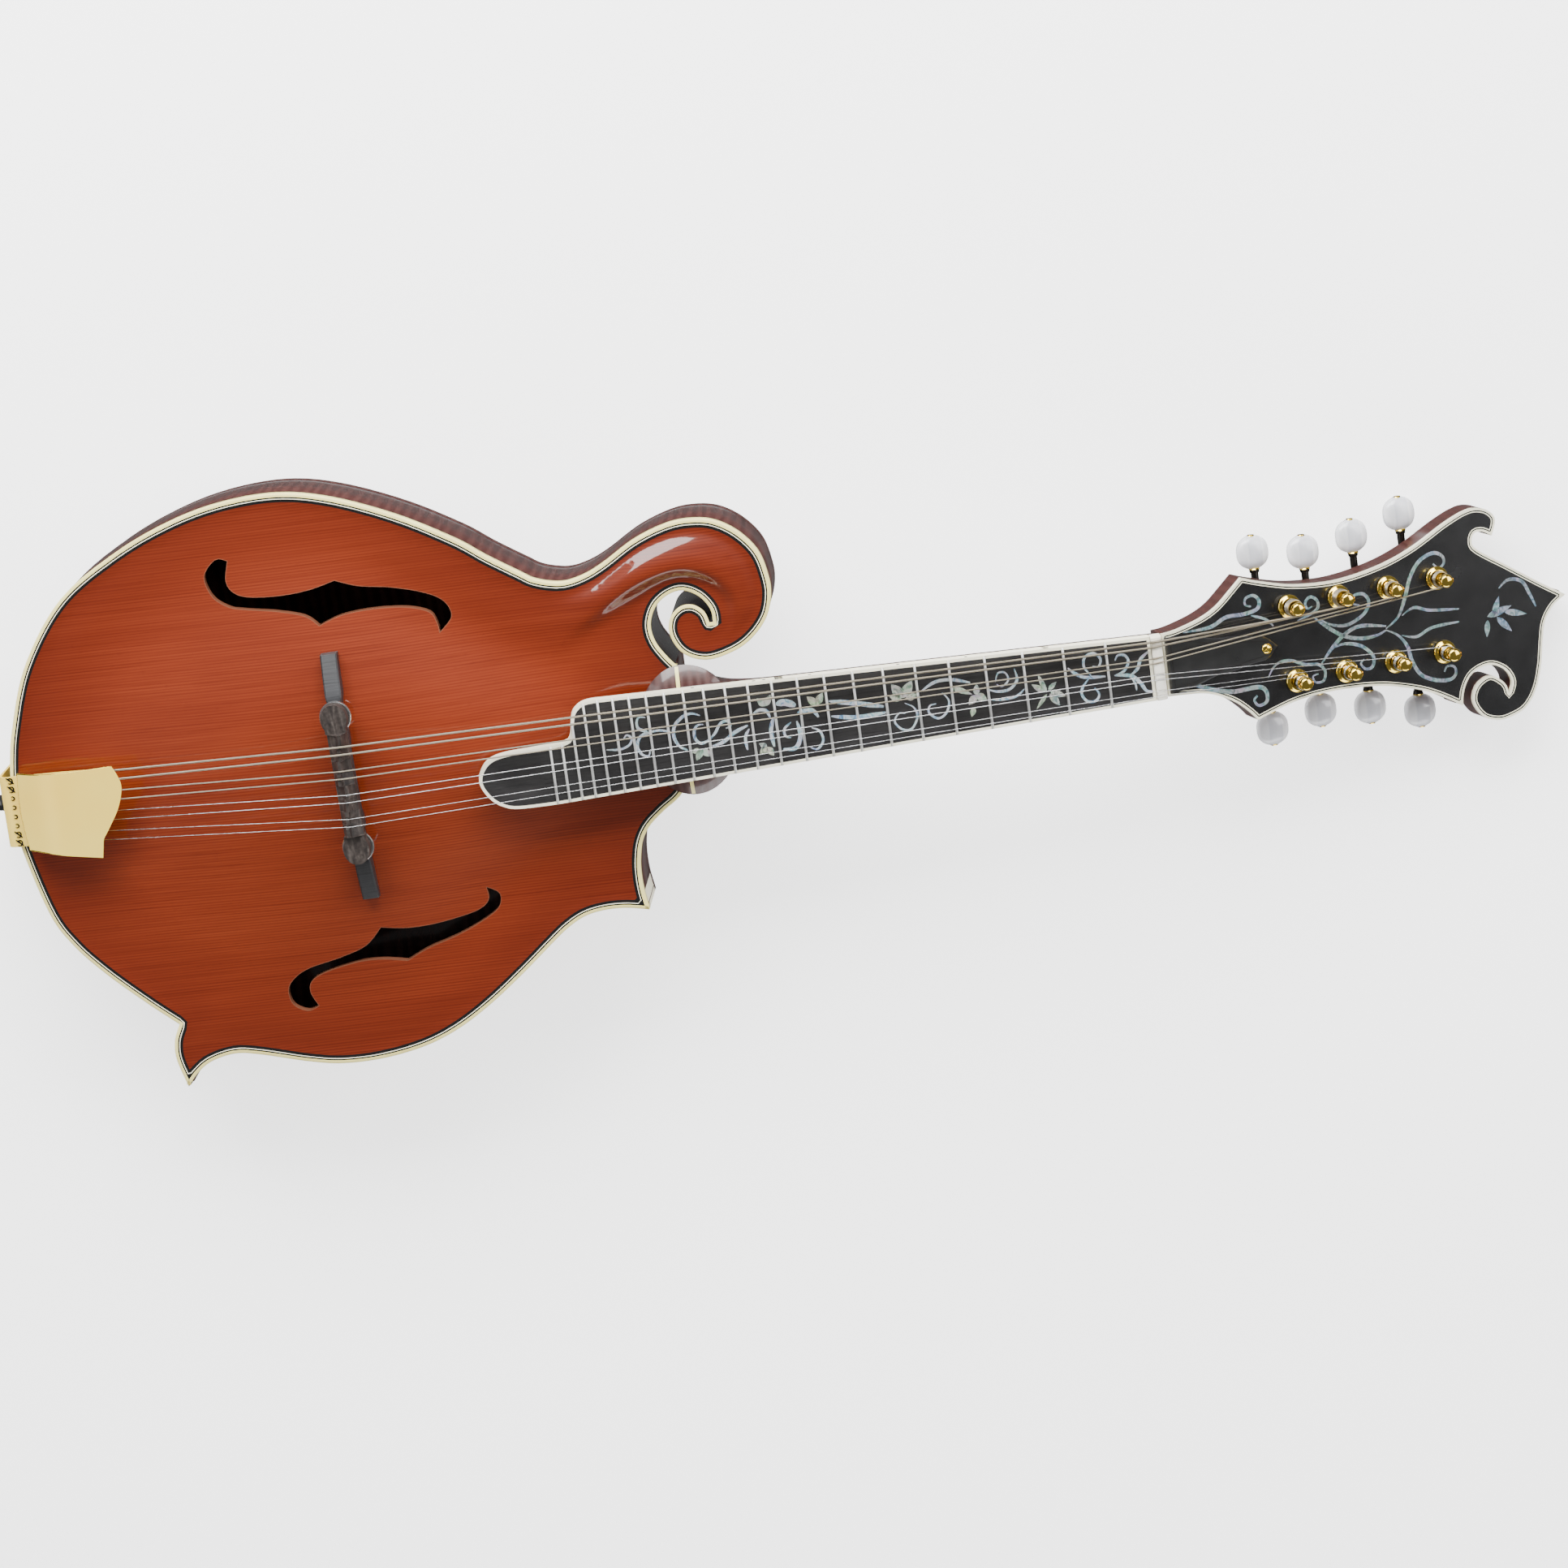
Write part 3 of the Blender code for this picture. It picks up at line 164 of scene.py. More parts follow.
F_HOLE_BASS = [
    [(111.5, 98.5), (106.4, 99.6), (100.6, 93.0), (103.0, 84.0), (109.6, 78.8), (116.5, 77.0),
     (130.4, 74.6), (142.3, 71.2), (148.1, 66.4)],
    [(148.1, 66.4), (158.2, 69.6), (172.6, 70.4), (186.7, 69.0), (196.0, 65.6), (198.7, 60.5),
     (199.3, 56.4)],
    [(199.3, 56.4), (205.0, 62.5), (202.6, 69.4), (194.5, 74.2), (180.9, 78.3), (167.0, 80.8),
     (156.9, 84.5)],
    [(156.9, 84.5), (145.9, 82.0), (133.0, 81.0), (119.0, 81.9), (112.3, 84.7), (109.6, 90.0),
     (111.5, 98.5)],
]
F_HOLE_TREBLE = [
    [(121.5, -103.6), (116.2, -105.2), (110.4, -101.5), (109.4, -94.6), (113.0, -89.6),
     (120.5, -85.6), (135.7, -82.0), (147.2, -77.9), (154.9, -70.4)],
    [(154.9, -70.4), (165.0, -72.2), (176.0, -72.4), (188.0, -71.0), (198.5, -68.6),
     (203.3, -64.6), (203.2, -58.8)],
    [(203.2, -58.8), (208.3, -62.6), (206.8, -69.0), (198.2, -74.4), (186.7, -79.2),
     (173.5, -83.2), (163.8, -87.6)],
    [(163.8, -87.6), (153.0, -85.4), (142.4, -85.2), (128.0, -88.0), (120.4, -91.6),
     (118.8, -97.0), (121.5, -103.6)],
]

BOARD_RUNS = [
    [(204.0, 14.2), (-38.8, 21.35)],
    [(-38.8, 21.35), (-44.0, 20.6), (-48.0, 17.6), (-49.6, 13.1), (-50.9, 6.6), (-54.0, 4.5),
     (-65.4, 3.8), (-80.7, 3.1), (-88.1, 0.6), (-92.1, -5.0), (-92.1, -10.0), (-88.7, -15.8),
     (-83.9, -19.6), (-77.0, -21.6), (-60.0, -22.0)],
    [(-60.0, -22.0), (204.0, -14.2)],
    [(204.0, -14.2), (204.0, 14.2)],
]

HEAD_RUNS = [
    [(0.9, -13.9), (7.9, -14.4), (19.2, -16.0), (30.0, -21.2), (37.0, -27.2), (40.8, -31.8)],
    [(40.8, -31.8), (60.2, -26.7), (79.7, -25.6), (99.0, -27.3), (114.2, -31.2), (125.5, -35.9),
     (138.0, -43.4)],
    [(138.0, -43.4), (139.4, -36.6), (143.9, -30.1), (152.5, -27.6), (159.6, -31.1),
     (162.6, -37.0), (160.6, -42.4)],
    [(160.6, -42.4), (159.0, -37.0), (152.5, -32.5), (145.6, -35.6), (143.0, -42.5),
     (147.0, -50.0), (154.3, -53.2), (161.0, -52.6), (168.0, -49.8), (173.6, -42.9),
     (177.3, -32.5), (179.3, -21.8), (181.5, -12.9), (186.2, -6.6), (192.5, -2.7)],
    [(192.5, -2.7), (181.4, 4.5), (166.7, 14.8), (152.9, 24.4), (150.4, 28.4), (152.0, 32.2),
     (156.0, 32.2), (160.2, 29.6)],
    [(160.2, 29.6), (162.6, 36.5), (159.8, 41.0), (154.2, 43.2), (148.0, 42.7), (138.0, 38.9),
     (121.5, 30.9), (105.3, 25.8), (85.5, 23.1), (66.4, 24.4), (51.4, 28.2), (40.4, 32.0)],
    [(40.4, 32.0), (35.0, 27.4), (27.5, 21.4), (19.4, 17.6), (7.7, 14.6), (0.9, 14.0)],
    [(0.9, 14.0), (0.9, -13.9)],
]

COVER_RUNS = [
    [(1.6, -12.6), (12.0, -11.6), (24.0, -8.6), (32.0, -8.0), (40.0, -6.6), (48.0, -5.4),
     (53.5, -0.6)],
    [(53.5, -0.6), (48.0, 4.4), (40.0, 5.8), (32.0, 7.2), (24.0, 8.0), (12.0, 11.2), (1.6, 12.4)],
    [(1.6, 12.4), (1.6, -12.6)],
]

TAIL_COVER_RUNS = [
    [(6.5, 17.8), (5.2, 0.0), (7.0, -17.0)],
    [(7.0, -17.0), (16.0, -17.8), (27.0, -19.6), (40.6, -21.8)],
    [(40.6, -21.8), (42.2, -13.4)],
    [(42.2, -13.4), (46.0, -8.0), (50.6, -0.6), (53.6, 8.0), (52.6, 13.6), (50.6, 18.2)],
    [(50.6, 18.2), (29.0, 17.6), (6.5, 17.8)],
]

# Crest of the carved scroll: along the instrument, across, and its height.
SCROLL_CREST = [(246.0, 43.0, 0.0), (256.0, 50.5, 0.9), (266.0, 57.0, 2.4), (276.0, 63.0, 3.8),
                (286.0, 67.8, 4.8), (296.0, 71.0, 5.2), (306.0, 72.0, 5.0), (316.0, 70.0, 4.2),
                (324.0, 65.0, 3.2), (329.0, 57.0, 2.2), (329.0, 49.0, 1.2), (325.0, 43.0, 0.4)]

# Shell vine on the headstock, in its own frame: points and the line's width.
HEAD_VINE = [
    ([(10.9, 12.9), (23.4, 13.0), (31.3, 16.0), (40.0, 15.9), (46.2, 17.1), (47.5, 20.4),
      (45.3, 23.2), (41.5, 22.7), (40.9, 19.9), (43.5, 18.6)], 1.9),
    ([(43.0, 14.7), (49.6, 11.8), (52.9, 8.2)], 1.3),
    ([(64.3, 8.5), (69.5, 9.9), (74.2, 12.1), (74.6, 15.6), (71.7, 17.9), (69.0, 16.0),
      (69.6, 12.9), (72.0, 13.6)], 1.5),
    ([(74.9, 7.2), (80.1, 3.8), (87.6, 2.5), (95.6, 5.8), (98.7, 10.6), (96.6, 14.6),
      (92.2, 14.8), (91.2, 11.4), (94.2, 10.1)], 1.7),
    ([(71.9, 8.9), (76.4, 4.5), (84.6, -1.8), (93.1, -4.7), (100.7, -4.7), (105.4, -3.2)], 1.9),
    ([(73.1, -12.8), (78.9, -6.7), (85.9, -1.4), (93.7, 0.8), (105.6, -1.4)], 1.9),
    ([(105.4, -2.6), (111.7, 1.7), (115.8, 9.3), (119.4, 18.2), (124.5, 24.5), (131.2, 26.9),
      (135.5, 24.9), (136.0, 21.5), (133.2, 19.9), (130.9, 22.1)], 1.9),
    ([(113.6, 1.9), (119.7, 4.4), (127.0, 1.9), (140.9, 0.0)], 1.5),
    ([(112.6, -6.9), (119.4, -8.7), (127.4, -6.0), (140.3, -5.7)], 1.5),
    ([(105.4, -3.2), (110.7, -6.5), (114.5, -12.0), (116.2, -19.5), (119.9, -26.2),
      (127.1, -29.9), (133.4, -30.6), (136.3, -28.3), (135.6, -25.2), (132.4, -24.6),
      (130.8, -26.8)], 1.9),
    ([(78.9, -6.7), (85.3, -5.7), (92.7, -8.0), (97.8, -13.2), (97.3, -17.9), (94.0, -18.7),
      (91.8, -15.9), (93.6, -14.2)], 1.7),
    ([(47.7, -14.1), (52.1, -8.9), (58.5, -8.3), (65.7, -11.4), (71.9, -12.6), (74.6, -16.1),
      (73.5, -20.1), (69.7, -20.2), (68.7, -17.4), (71.4, -16.7)], 1.5),
    ([(5.0, -9.2), (11.8, -10.4), (21.2, -14.5), (30.9, -17.2), (42.3, -17.3), (46.0, -19.7),
      (45.9, -24.3), (41.9, -25.5), (40.1, -22.8), (41.8, -21.1)], 2.2),
    ([(160.9, 5.7), (165.7, 8.7), (172.0, 7.0), (175.2, 1.0), (177.7, -5.5)], 1.7),
]

# A plain sprig stands at the headstock's end: leaves as (base, tip, half-width).
HEAD_LEAVES = [
    ((154.0, -6.0), (166.0, -3.0), 1.7), ((157.0, -6.4), (160.5, 2.2), 1.4),
    ((158.5, -7.0), (165.0, -14.5), 1.5), ((154.0, -7.5), (152.8, -15.0), 1.3),
    ((162.0, -5.0), (173.0, -8.0), 1.4),
]

# Shell vine on the fingerboard, in the neck's frame.
BOARD_VINE = [
    ([(-36.1, -1.2), (-30.5, -1.8), (-26.2, -0.6), (-24.6, 2.2), (-26.6, 4.0), (-28.2, 2.2)], 1.4),
    ([(-17.5, 10.5), (-20.4, 10.9), (-21.6, 8.6), (-21.0, 6.0), (-17.9, 4.1), (-21.1, 2.1),
      (-22.6, -1.7), (-21.1, -5.4), (-18.4, -6.5), (-17.5, -4.4)], 1.8),
    ([(-21.3, 2.0), (-15.0, 4.0), (-10.2, 3.6), (-6.0, 1.6)], 1.3),
    ([(6.0, 8.0), (2.3, 9.4), (-1.7, 8.4), (-5.6, 4.8), (-6.3, -0.1), (-4.4, -4.3),
      (-1.3, -6.3)], 2.0),
    ([(6.9, 3.9), (4.3, 3.8), (2.7, 1.6), (2.7, -1.9), (4.8, -4.2), (8.4, -3.4),
      (10.1, -1.7)], 1.8),
    ([(8.4, -3.4), (11.5, -0.6), (14.3, 3.2), (17.4, 3.9), (18.6, 1.6), (16.4, 0.8)], 1.7),
    ([(9.6, -6.2), (14.6, -5.0), (19.9, -1.6), (26.0, 0.7)], 2.2),
    ([(26.4, -0.9), (24.3, -4.5), (24.5, -10.1)], 1.8),
    ([(29.1, 5.7), (32.1, 6.7), (34.9, 5.8), (36.0, 2.7)], 2.0),
    ([(39.3, 8.1), (43.2, 8.4), (47.7, 6.4)], 4.2),
    ([(37.4, 2.5), (35.7, -3.2), (36.2, -10.3)], 2.4),
    ([(44.8, -0.6), (41.6, -3.1), (41.6, -6.3), (43.9, -7.4)], 1.5),
    ([(47.3, -0.5), (48.1, -7.0), (45.4, -12.1), (39.9, -12.0)], 2.6),
    ([(53.3, -4.3), (56.6, -6.3), (57.6, -10.6), (54.8, -14.0), (51.9, -13.0)], 1.5),
    ([(48.1, 3.2), (54.3, 3.4), (56.9, -0.1)], 2.4),
    ([(62.3, 6.2), (72.7, 3.8), (85.6, 0.4)], 3.0),
    ([(62.4, -0.6), (73.9, -2.6), (86.2, -2.3)], 2.6),
    ([(94.8, 0.6), (98.6, -2.0), (99.5, -6.3), (96.4, -11.1), (92.3, -10.7), (89.5, -7.0),
      (91.7, -3.6), (94.5, -4.0)], 1.3),
    ([(102.5, 4.7), (109.0, 7.9), (116.2, 7.9), (124.1, 5.5)], 2.0),
    ([(111.5, 2.8), (114.0, -1.2), (112.4, -6.1), (108.5, -8.2), (104.8, -5.2), (105.5, -2.2),
      (108.3, -1.7)], 1.4),
    ([(143.9, 8.8), (144.5, 3.7), (140.8, 0.1), (135.6, -0.2), (131.7, 1.2)], 1.7),
    ([(135.1, 4.1), (136.6, 7.8), (139.7, 7.6), (140.8, 4.3), (137.9, 1.8), (135.5, 3.0)], 1.1),
    ([(147.4, -0.6), (143.4, -3.4), (137.2, -4.0), (132.0, -3.3)], 1.4),
    ([(167.1, 5.7), (169.8, 3.0), (174.2, 0.5), (183.0, -0.3)], 2.0),
    ([(176.8, 0.9), (174.2, 5.1), (174.9, 9.2), (178.8, 10.6), (181.7, 7.7), (180.5, 4.5),
      (177.9, 4.9)], 1.6),
    ([(175.6, -0.3), (172.7, -3.5), (171.8, -6.7), (173.9, -10.1), (177.5, -10.4),
      (179.4, -7.8), (177.7, -4.7)], 1.6),
    ([(186.9, -0.5), (191.3, 0.9), (193.6, 4.7), (192.5, 7.6), (189.4, 8.1), (187.9, 6.0)], 1.6),
    ([(186.9, -0.5), (193.9, -1.6), (197.6, -5.0), (200.0, -9.1), (203.0, -9.9)], 2.2),
    ([(193.9, -1.4), (197.3, 1.1), (199.2, 5.2), (202.8, 7.9)], 2.0),
    ([(193.9, -1.9), (195.5, -5.2), (195.8, -8.4)], 1.2),
]
BOARD_LEAVES = [
    ((4.7, -7.0), (2.0, -11.5), 1.5), ((4.7, -7.0), (8.8, -10.6), 1.5),
    ((4.2, -7.0), (0.2, -7.6), 1.2),
    ((34.5, 8.0), (31.5, 12.0), 1.4), ((34.5, 8.0), (37.5, 12.6), 1.4),
    ((33.1, -10.0), (29.5, -13.0), 1.5), ((33.1, -10.0), (35.5, -14.2), 1.5),
    ((33.1, -10.0), (29.8, -8.0), 1.2),
    ((56.8, 5.4), (53.0, 9.6), 1.6), ((56.8, 5.4), (60.0, 10.4), 1.6),
    ((94.3, 3.0), (90.0, 9.8), 2.2), ((94.3, 3.0), (99.2, 10.2), 2.2),
    ((93.6, 2.4), (88.5, 4.6), 1.6), ((95.6, 2.4), (100.6, 3.8), 1.6),
    ((126.2, -0.4), (122.4, -4.2), 1.6), ((126.2, -0.4), (130.4, -2.8), 1.7),
    ((126.2, -0.4), (126.8, 4.4), 1.4), ((124.6, -5.6), (123.0, -9.6), 1.2),
    ((115.8, 4.6), (124.4, 0.2), 1.2),
    ((156.7, -3.7), (153.7, 5.0), 1.0), ((156.0, -3.4), (150.6, 0.8), 1.3),
    ((156.7, -4.4), (151.6, -10.2), 0.8), ((158.0, -4.4), (161.8, -10.2), 1.5),
    ((158.4, -3.6), (164.8, -6.4), 1.4), ((157.6, -2.6), (161.4, 0.4), 1.0),
]


def spline_run(points, step):
    """Points along a smooth run through the given points, without its last one."""
    result = []
    last = len(points) - 1
    for i in range(last):
        before = points[max(i - 1, 0)]
        start = points[i]
        end = points[i + 1]
        after = points[min(i + 2, last)]
        pieces = max(1, round(math.dist(start, end) / step))
        for k in range(pieces):
            t = k / pieces
            result.append(tuple(
                0.5 * (2 * start[a] + (end[a] - before[a]) * t
                       + (2 * before[a] - 5 * start[a] + 4 * end[a] - after[a]) * t * t
                       + (3 * start[a] - before[a] - 3 * end[a] + after[a]) * t ** 3)
                for a in range(len(start))))
    return result


def outline(runs, step=1.5):
    """Closed chain of points around all runs."""
    return [point for run in runs for point in spline_run(run, step)]


def inset(points, distance):
    """The same counter-clockwise outline moved inwards, with mitred corners."""
    result = []
    count = len(points)
    for i, point in enumerate(points):
        before = points[i - 1]
        after = points[(i + 1) % count]
        a = Vector((point[0] - before[0], point[1] - before[1])).normalized()
        b = Vector((after[0] - point[0], after[1] - point[1])).normalized()
        normal = Vector((-a.y - b.y, a.x + b.x))
        normal.normalize()
        reach = distance / max(0.45, normal.dot(Vector((-a.y, a.x))))
        result.append((point[0] + normal.x * reach, point[1] + normal.y * reach))
    return result


def distances(points, loop):
    """Distance from each point to a closed loop, in the loop's units."""
    points = np.asarray(points, float).reshape(-1, 2)
    start = np.asarray(loop, float)
    along = np.roll(start, -1, axis=0) - start
    length = np.maximum((along ** 2).sum(1), 1e-12)
    result = np.empty(len(points))
    for low in range(0, len(points), 2000):
        part = points[low:low + 2000, None, :] - start[None]
        share = np.clip((part * along[None]).sum(2) / length[None], 0.0, 1.0)
        gap = part - share[..., None] * along[None]
        result[low:low + 2000] = np.sqrt((gap ** 2).sum(2).min(1))
    return result


def inside(points, loop):
    """Whether each point lies inside a closed loop."""
    points = np.asarray(points, float).reshape(-1, 2)
    start = np.asarray(loop, float)
    end = np.roll(start, -1, axis=0)
    result = np.zeros(len(points), bool)
    for low in range(0, len(points), 2000):
        x = points[low:low + 2000, 0, None]
        y = points[low:low + 2000, 1, None]
        crosses = (start[None, :, 1] > y) != (end[None, :, 1] > y)
        rise = np.where(end[:, 1] == start[:, 1], 1e-12, end[:, 1] - start[:, 1])
        where = start[None, :, 0] + (y - start[None, :, 1]) * ((end[:, 0] - start[:, 0]) / rise)[None]
        result[low:low + 2000] = (crosses & (x < where)).sum(1) % 2 == 1
    return result


def arch_half_width(x):
    """Half of the arched area's width at a station, wide in the lower bout and narrow at the neck."""
    t = min(1.0, max(0.0, (x - 125.0) / 145.0))
    return 114.0 - 60.0 * (0.5 - 0.5 * math.cos(math.pi * t))


def arch(x, y):
    """Height of the carved arch from 0 at the edge to 1 on the middle, with a soft recurve."""
    along = (x - ARCH_CENTRE[0]) / ARCH_HALF_LENGTH
    across = (y - ARCH_CENTRE[1]) / arch_half_width(x)
    t = min(1.0, max(0.0, (1.0 - math.hypot(along, across)) / 0.85))
    return t * t * (3.0 - 2.0 * t)


def smooth_step(t):
    t = min(1.0, max(0.0, t))
    return t * t * (3.0 - 2.0 * t)


def board_half(u):
    """Half of the fingerboard's width, u along the neck from the body joint to the nut."""
    share = (NUT_U - u) / FRET_24
    return BOARD_HALF_NUT + (BOARD_HALF_FRET_24 - BOARD_HALF_NUT) * share


# ---------------------------------------------------------------- materials

OWN_PLACE = "own_place"        # a point's coordinates in its piece's own frame, in metres


class Tree:
    """A material's node tree with short calls for the nodes used here.

    Patterns follow the coordinates that each new piece keeps in OWN_PLACE. A carried-over node of the
    model has no such attribute, so its material uses the object's coordinates.
    """

    def __init__(self, name, roughness=0.4, metallic=0.0, coat=0.0, coat_roughness=0.05, carried=False):
        self.material = bpy.data.materials.new(name)
        self.material.use_nodes = True
        self.nodes = self.material.node_tree.nodes
        self.links = self.material.node_tree.links
        self.shader = self.nodes["Principled BSDF"]
        self.shader.inputs["Roughness"].default_value = roughness
        self.shader.inputs["Metallic"].default_value = metallic
        self.shader.inputs["Coat Weight"].default_value = coat
        self.shader.inputs["Coat Roughness"].default_value = coat_roughness
        if carried:
            self.place = self.nodes.new("ShaderNodeTexCoord").outputs["Object"]
        else:
            own = self.nodes.new("ShaderNodeAttribute")
            own.attribute_name = OWN_PLACE
            self.place = own.outputs["Vector"]

    def link(self, source, target):
        self.links.new(source, target)

    def stretched(self, scale):
        node = self.nodes.new("ShaderNodeMapping")
        node.inputs["Scale"].default_value = scale
        self.link(self.place, node.inputs["Vector"])
        return node.outputs["Vector"]

    def noise(self, scale, detail=4.0, stretch=None, distortion=0.0):
        node = self.nodes.new("ShaderNodeTexNoise")
        node.inputs["Scale"].default_value = scale
        node.inputs["Detail"].default_value = detail
        node.inputs["Distortion"].default_value = distortion
        self.link(self.stretched(stretch) if stretch else self.place, node.inputs["Vector"])
        return node.outputs["Fac"]

    def waves(self, scale, direction, distortion, detail_scale=1.0, stretch=None):
        node = self.nodes.new("ShaderNodeTexWave")
        node.bands_direction = direction
        node.inputs["Scale"].default_value = scale
        node.inputs["Distortion"].default_value = distortion
        node.inputs["Detail Scale"].default_value = detail_scale
        self.link(self.stretched(stretch) if stretch else self.place, node.inputs["Vector"])
        return node.outputs["Fac"]

    def cells(self, scale, stretch=None):
        node = self.nodes.new("ShaderNodeTexVoronoi")
        node.inputs["Scale"].default_value = scale
        self.link(self.stretched(stretch) if stretch else self.place, node.inputs["Vector"])
        return node.outputs["Color"]

    def ramp(self, factor, stops, constant=False):
        node = self.nodes.new("ShaderNodeValToRGB")
        node.color_ramp.interpolation = "CONSTANT" if constant else "LINEAR"
        elements = node.color_ramp.elements
        while len(elements) < len(stops):
            elements.new(0.5)
        for element, (position, colour) in zip(elements, stops):
            element.position = position
            element.color = (*colour, 1.0)
        self.link(factor, node.inputs["Fac"])
        return node.outputs["Color"]

    def mix(self, factor, first, second, blend="MIX"):
        node = self.nodes.new("ShaderNodeMix")
        node.data_type = "RGBA"
        node.blend_type = blend
        for socket, value in ((node.inputs[0], factor), (node.inputs[6], first), (node.inputs[7], second)):
            if isinstance(value, bpy.types.NodeSocket):
                self.link(value, socket)
            elif isinstance(value, tuple):
                socket.default_value = (*value, 1.0)
            else:
                socket.default_value = value
        return node.outputs[2]

    def attribute(self, name, scale=1.0):
        node = self.nodes.new("ShaderNodeAttribute")
        node.attribute_name = name
        times = self.nodes.new("ShaderNodeMath")
        times.operation = "MULTIPLY"
        times.inputs[1].default_value = scale
        self.link(node.outputs["Fac"], times.inputs[0])
        return times.outputs[0]

    def value_range(self, value, low, high):
        node = self.nodes.new("ShaderNodeMapRange")
        node.inputs["To Min"].default_value = low
        node.inputs["To Max"].default_value = high
        self.link(value, node.inputs["Value"])
        return node.outputs["Result"]

    def colour(self, value):
        if isinstance(value, tuple):
            self.shader.inputs["Base Color"].default_value = (*value, 1.0)
        else:
            self.link(value, self.shader.inputs["Base Color"])

    def roughness(self, value, low, high):
        self.link(self.value_range(value, low, high), self.shader.inputs["Roughness"])

    def bump(self, height, distance, strength=1.0, coat=False):
        node = self.nodes.new("ShaderNodeBump")
        node.inputs["Strength"].default_value = strength
        node.inputs["Distance"].default_value = distance
        self.link(height, node.inputs["Height"])
        self.link(node.outputs["Normal"], self.shader.inputs["Normal"])
        if coat:
            self.link(node.outputs["Normal"], self.shader.inputs["Coat Normal"])


EDGE_SCALE = 20.0              # millimetres from a plate's edge that a ramp of edge lines spans
BURST_WIDTH = 55.0             # millimetres over which the varnish darkens towards the edge


CREAM = (1.0, 0.86, 0.32)
LINE_WHITE = (0.95, 0.91, 0.70)
LINE_BLACK = (0.006, 0.006, 0.006)


def bound(tree, inner, lines, last):
    """Colour lines along a plate's edge, and the plate's own colour inside them."""
    edge = tree.attribute("edge", 1.0 / EDGE_SCALE)
    banded = tree.ramp(edge, [(d / EDGE_SCALE, c) for d, c in lines], constant=True)
    mask = tree.ramp(edge, [(0.0, (0.0, 0.0, 0.0)), (last / EDGE_SCALE, (1.0, 1.0, 1.0))], constant=True)
    return tree.mix(mask, banded, inner)


def spruce_varnish():
    tree = Tree("spruce_varnish", roughness=0.42, coat=1.0, coat_roughness=0.07)
    tree.shader.inputs["Specular IOR Level"].default_value = 0.15
    rings = tree.waves(1.0, "Y", 2.2, 1.0, (12.0, 250.0, 40.0))
    fine = tree.noise(1.0, 2.0, (10.0, 1250.0, 160.0))
    broad = tree.noise(1.0, 2.0, (4.0, 60.0, 30.0))
    cloud = tree.noise(7.0, 3.0)
    flecks = tree.noise(1.0, 2.0, (300.0, 900.0, 100.0))
    base = tree.ramp(broad, [(0.30, (0.180, 0.0225, 0.0052)), (0.50, (0.192, 0.0250, 0.0060)),
                             (0.72, (0.204, 0.0280, 0.0070))])
    grain = tree.ramp(fine, [(0.30, (0.80, 0.72, 0.68)), (0.50, (1.0, 1.0, 1.0)), (0.72, (1.09, 1.16, 1.18))])
    colour = tree.mix(0.8, base, grain, "MULTIPLY")
    winter = tree.ramp(rings, [(0.0, (0.70, 0.58, 0.52)), (0.35, (1.0, 1.0, 1.0)), (1.0, (1.08, 1.10, 1.10))])
    colour = tree.mix(0.75, colour, winter, "MULTIPLY")
    shade = tree.ramp(cloud, [(0.3, (0.86, 0.82, 0.80)), (0.7, (1.07, 1.10, 1.10))])
    colour = tree.mix(0.8, colour, shade, "MULTIPLY")
    pores = tree.ramp(flecks, [(0.26, (0.84, 0.80, 0.76)), (0.38, (1.0, 1.0, 1.0))])
    colour = tree.mix(0.5, colour, pores, "MULTIPLY")
    rim = tree.ramp(tree.attribute("edge", 1.0 / BURST_WIDTH), [(0.05, (0.72, 0.62, 0.60)), (0.8, (1.0, 1.0, 1.0))])
    colour = tree.mix(1.0, colour, rim, "MULTIPLY")
    # Painted highlight: the f-hole edges and walls get a lighter orange colour within 0.4 mm of the holes.
    hole = tree.attribute("hole_edge", 1.0 / EDGE_SCALE)
    hole_edge_highlight = tree.ramp(hole, [(0.0, (1.0, 1.0, 1.0)), (0.4 / EDGE_SCALE, (0.0, 0.0, 0.0))])
    colour = tree.mix(hole_edge_highlight, colour, (0.20, 0.075, 0.040))
    lines = [(0.0, LINE_BLACK), (BINDING_WIDTH + 0.55, LINE_WHITE), (BINDING_WIDTH + 1.0, LINE_BLACK)]
    tree.colour(bound(tree, colour, lines, PURFLING_END))
    tree.roughness(fine, 0.38, 0.52)
    tree.bump(fine, 0.00002, 0.4)
    return tree.material


def maple_varnish(name, across, contrast=0.8):
    """Flamed maple under red-brown varnish; the flame runs across the given stretch."""
    tree = Tree(name, roughness=0.34, coat=0.6, coat_roughness=0.08)
    flame = tree.waves(1.0, "X", 3.4, 1.4, across)
    fine = tree.noise(1.0, 3.0, (30.0, 1100.0, 700.0))
    cloud = tree.noise(14.0, 3.0)
    plain = (0.058, 0.0170, 0.0140)
    base = tree.ramp(flame, [(0.15, (0.036, 0.0095, 0.0080)), (0.5, plain), (0.85, (0.086, 0.0280, 0.0220))])
    base = tree.mix(contrast, plain, base)
    shade = tree.ramp(cloud, [(0.3, (0.80, 0.78, 0.78)), (0.7, (1.1, 1.1, 1.1))])
    colour = tree.mix(0.8, base, shade, "MULTIPLY")
    pores = tree.ramp(fine, [(0.32, (0.72, 0.68, 0.66)), (0.5, (1.0, 1.0, 1.0))])
    tree.colour(tree.mix(0.7, colour, pores, "MULTIPLY"))
    tree.roughness(flame, 0.28, 0.42)
    tree.bump(fine, 0.00002, 0.4)
    return tree.material


def raw_spruce():
    tree = Tree("raw_spruce", roughness=0.72, carried=True)
    fine = tree.noise(1.0, 3.0, (12.0, 1300.0, 900.0))
    tree.colour(tree.ramp(fine, [(0.34, (0.40, 0.24, 0.11)), (0.6, (0.60, 0.41, 0.21))]))
    tree.bump(fine, 0.0001, 0.6)
    return tree.material


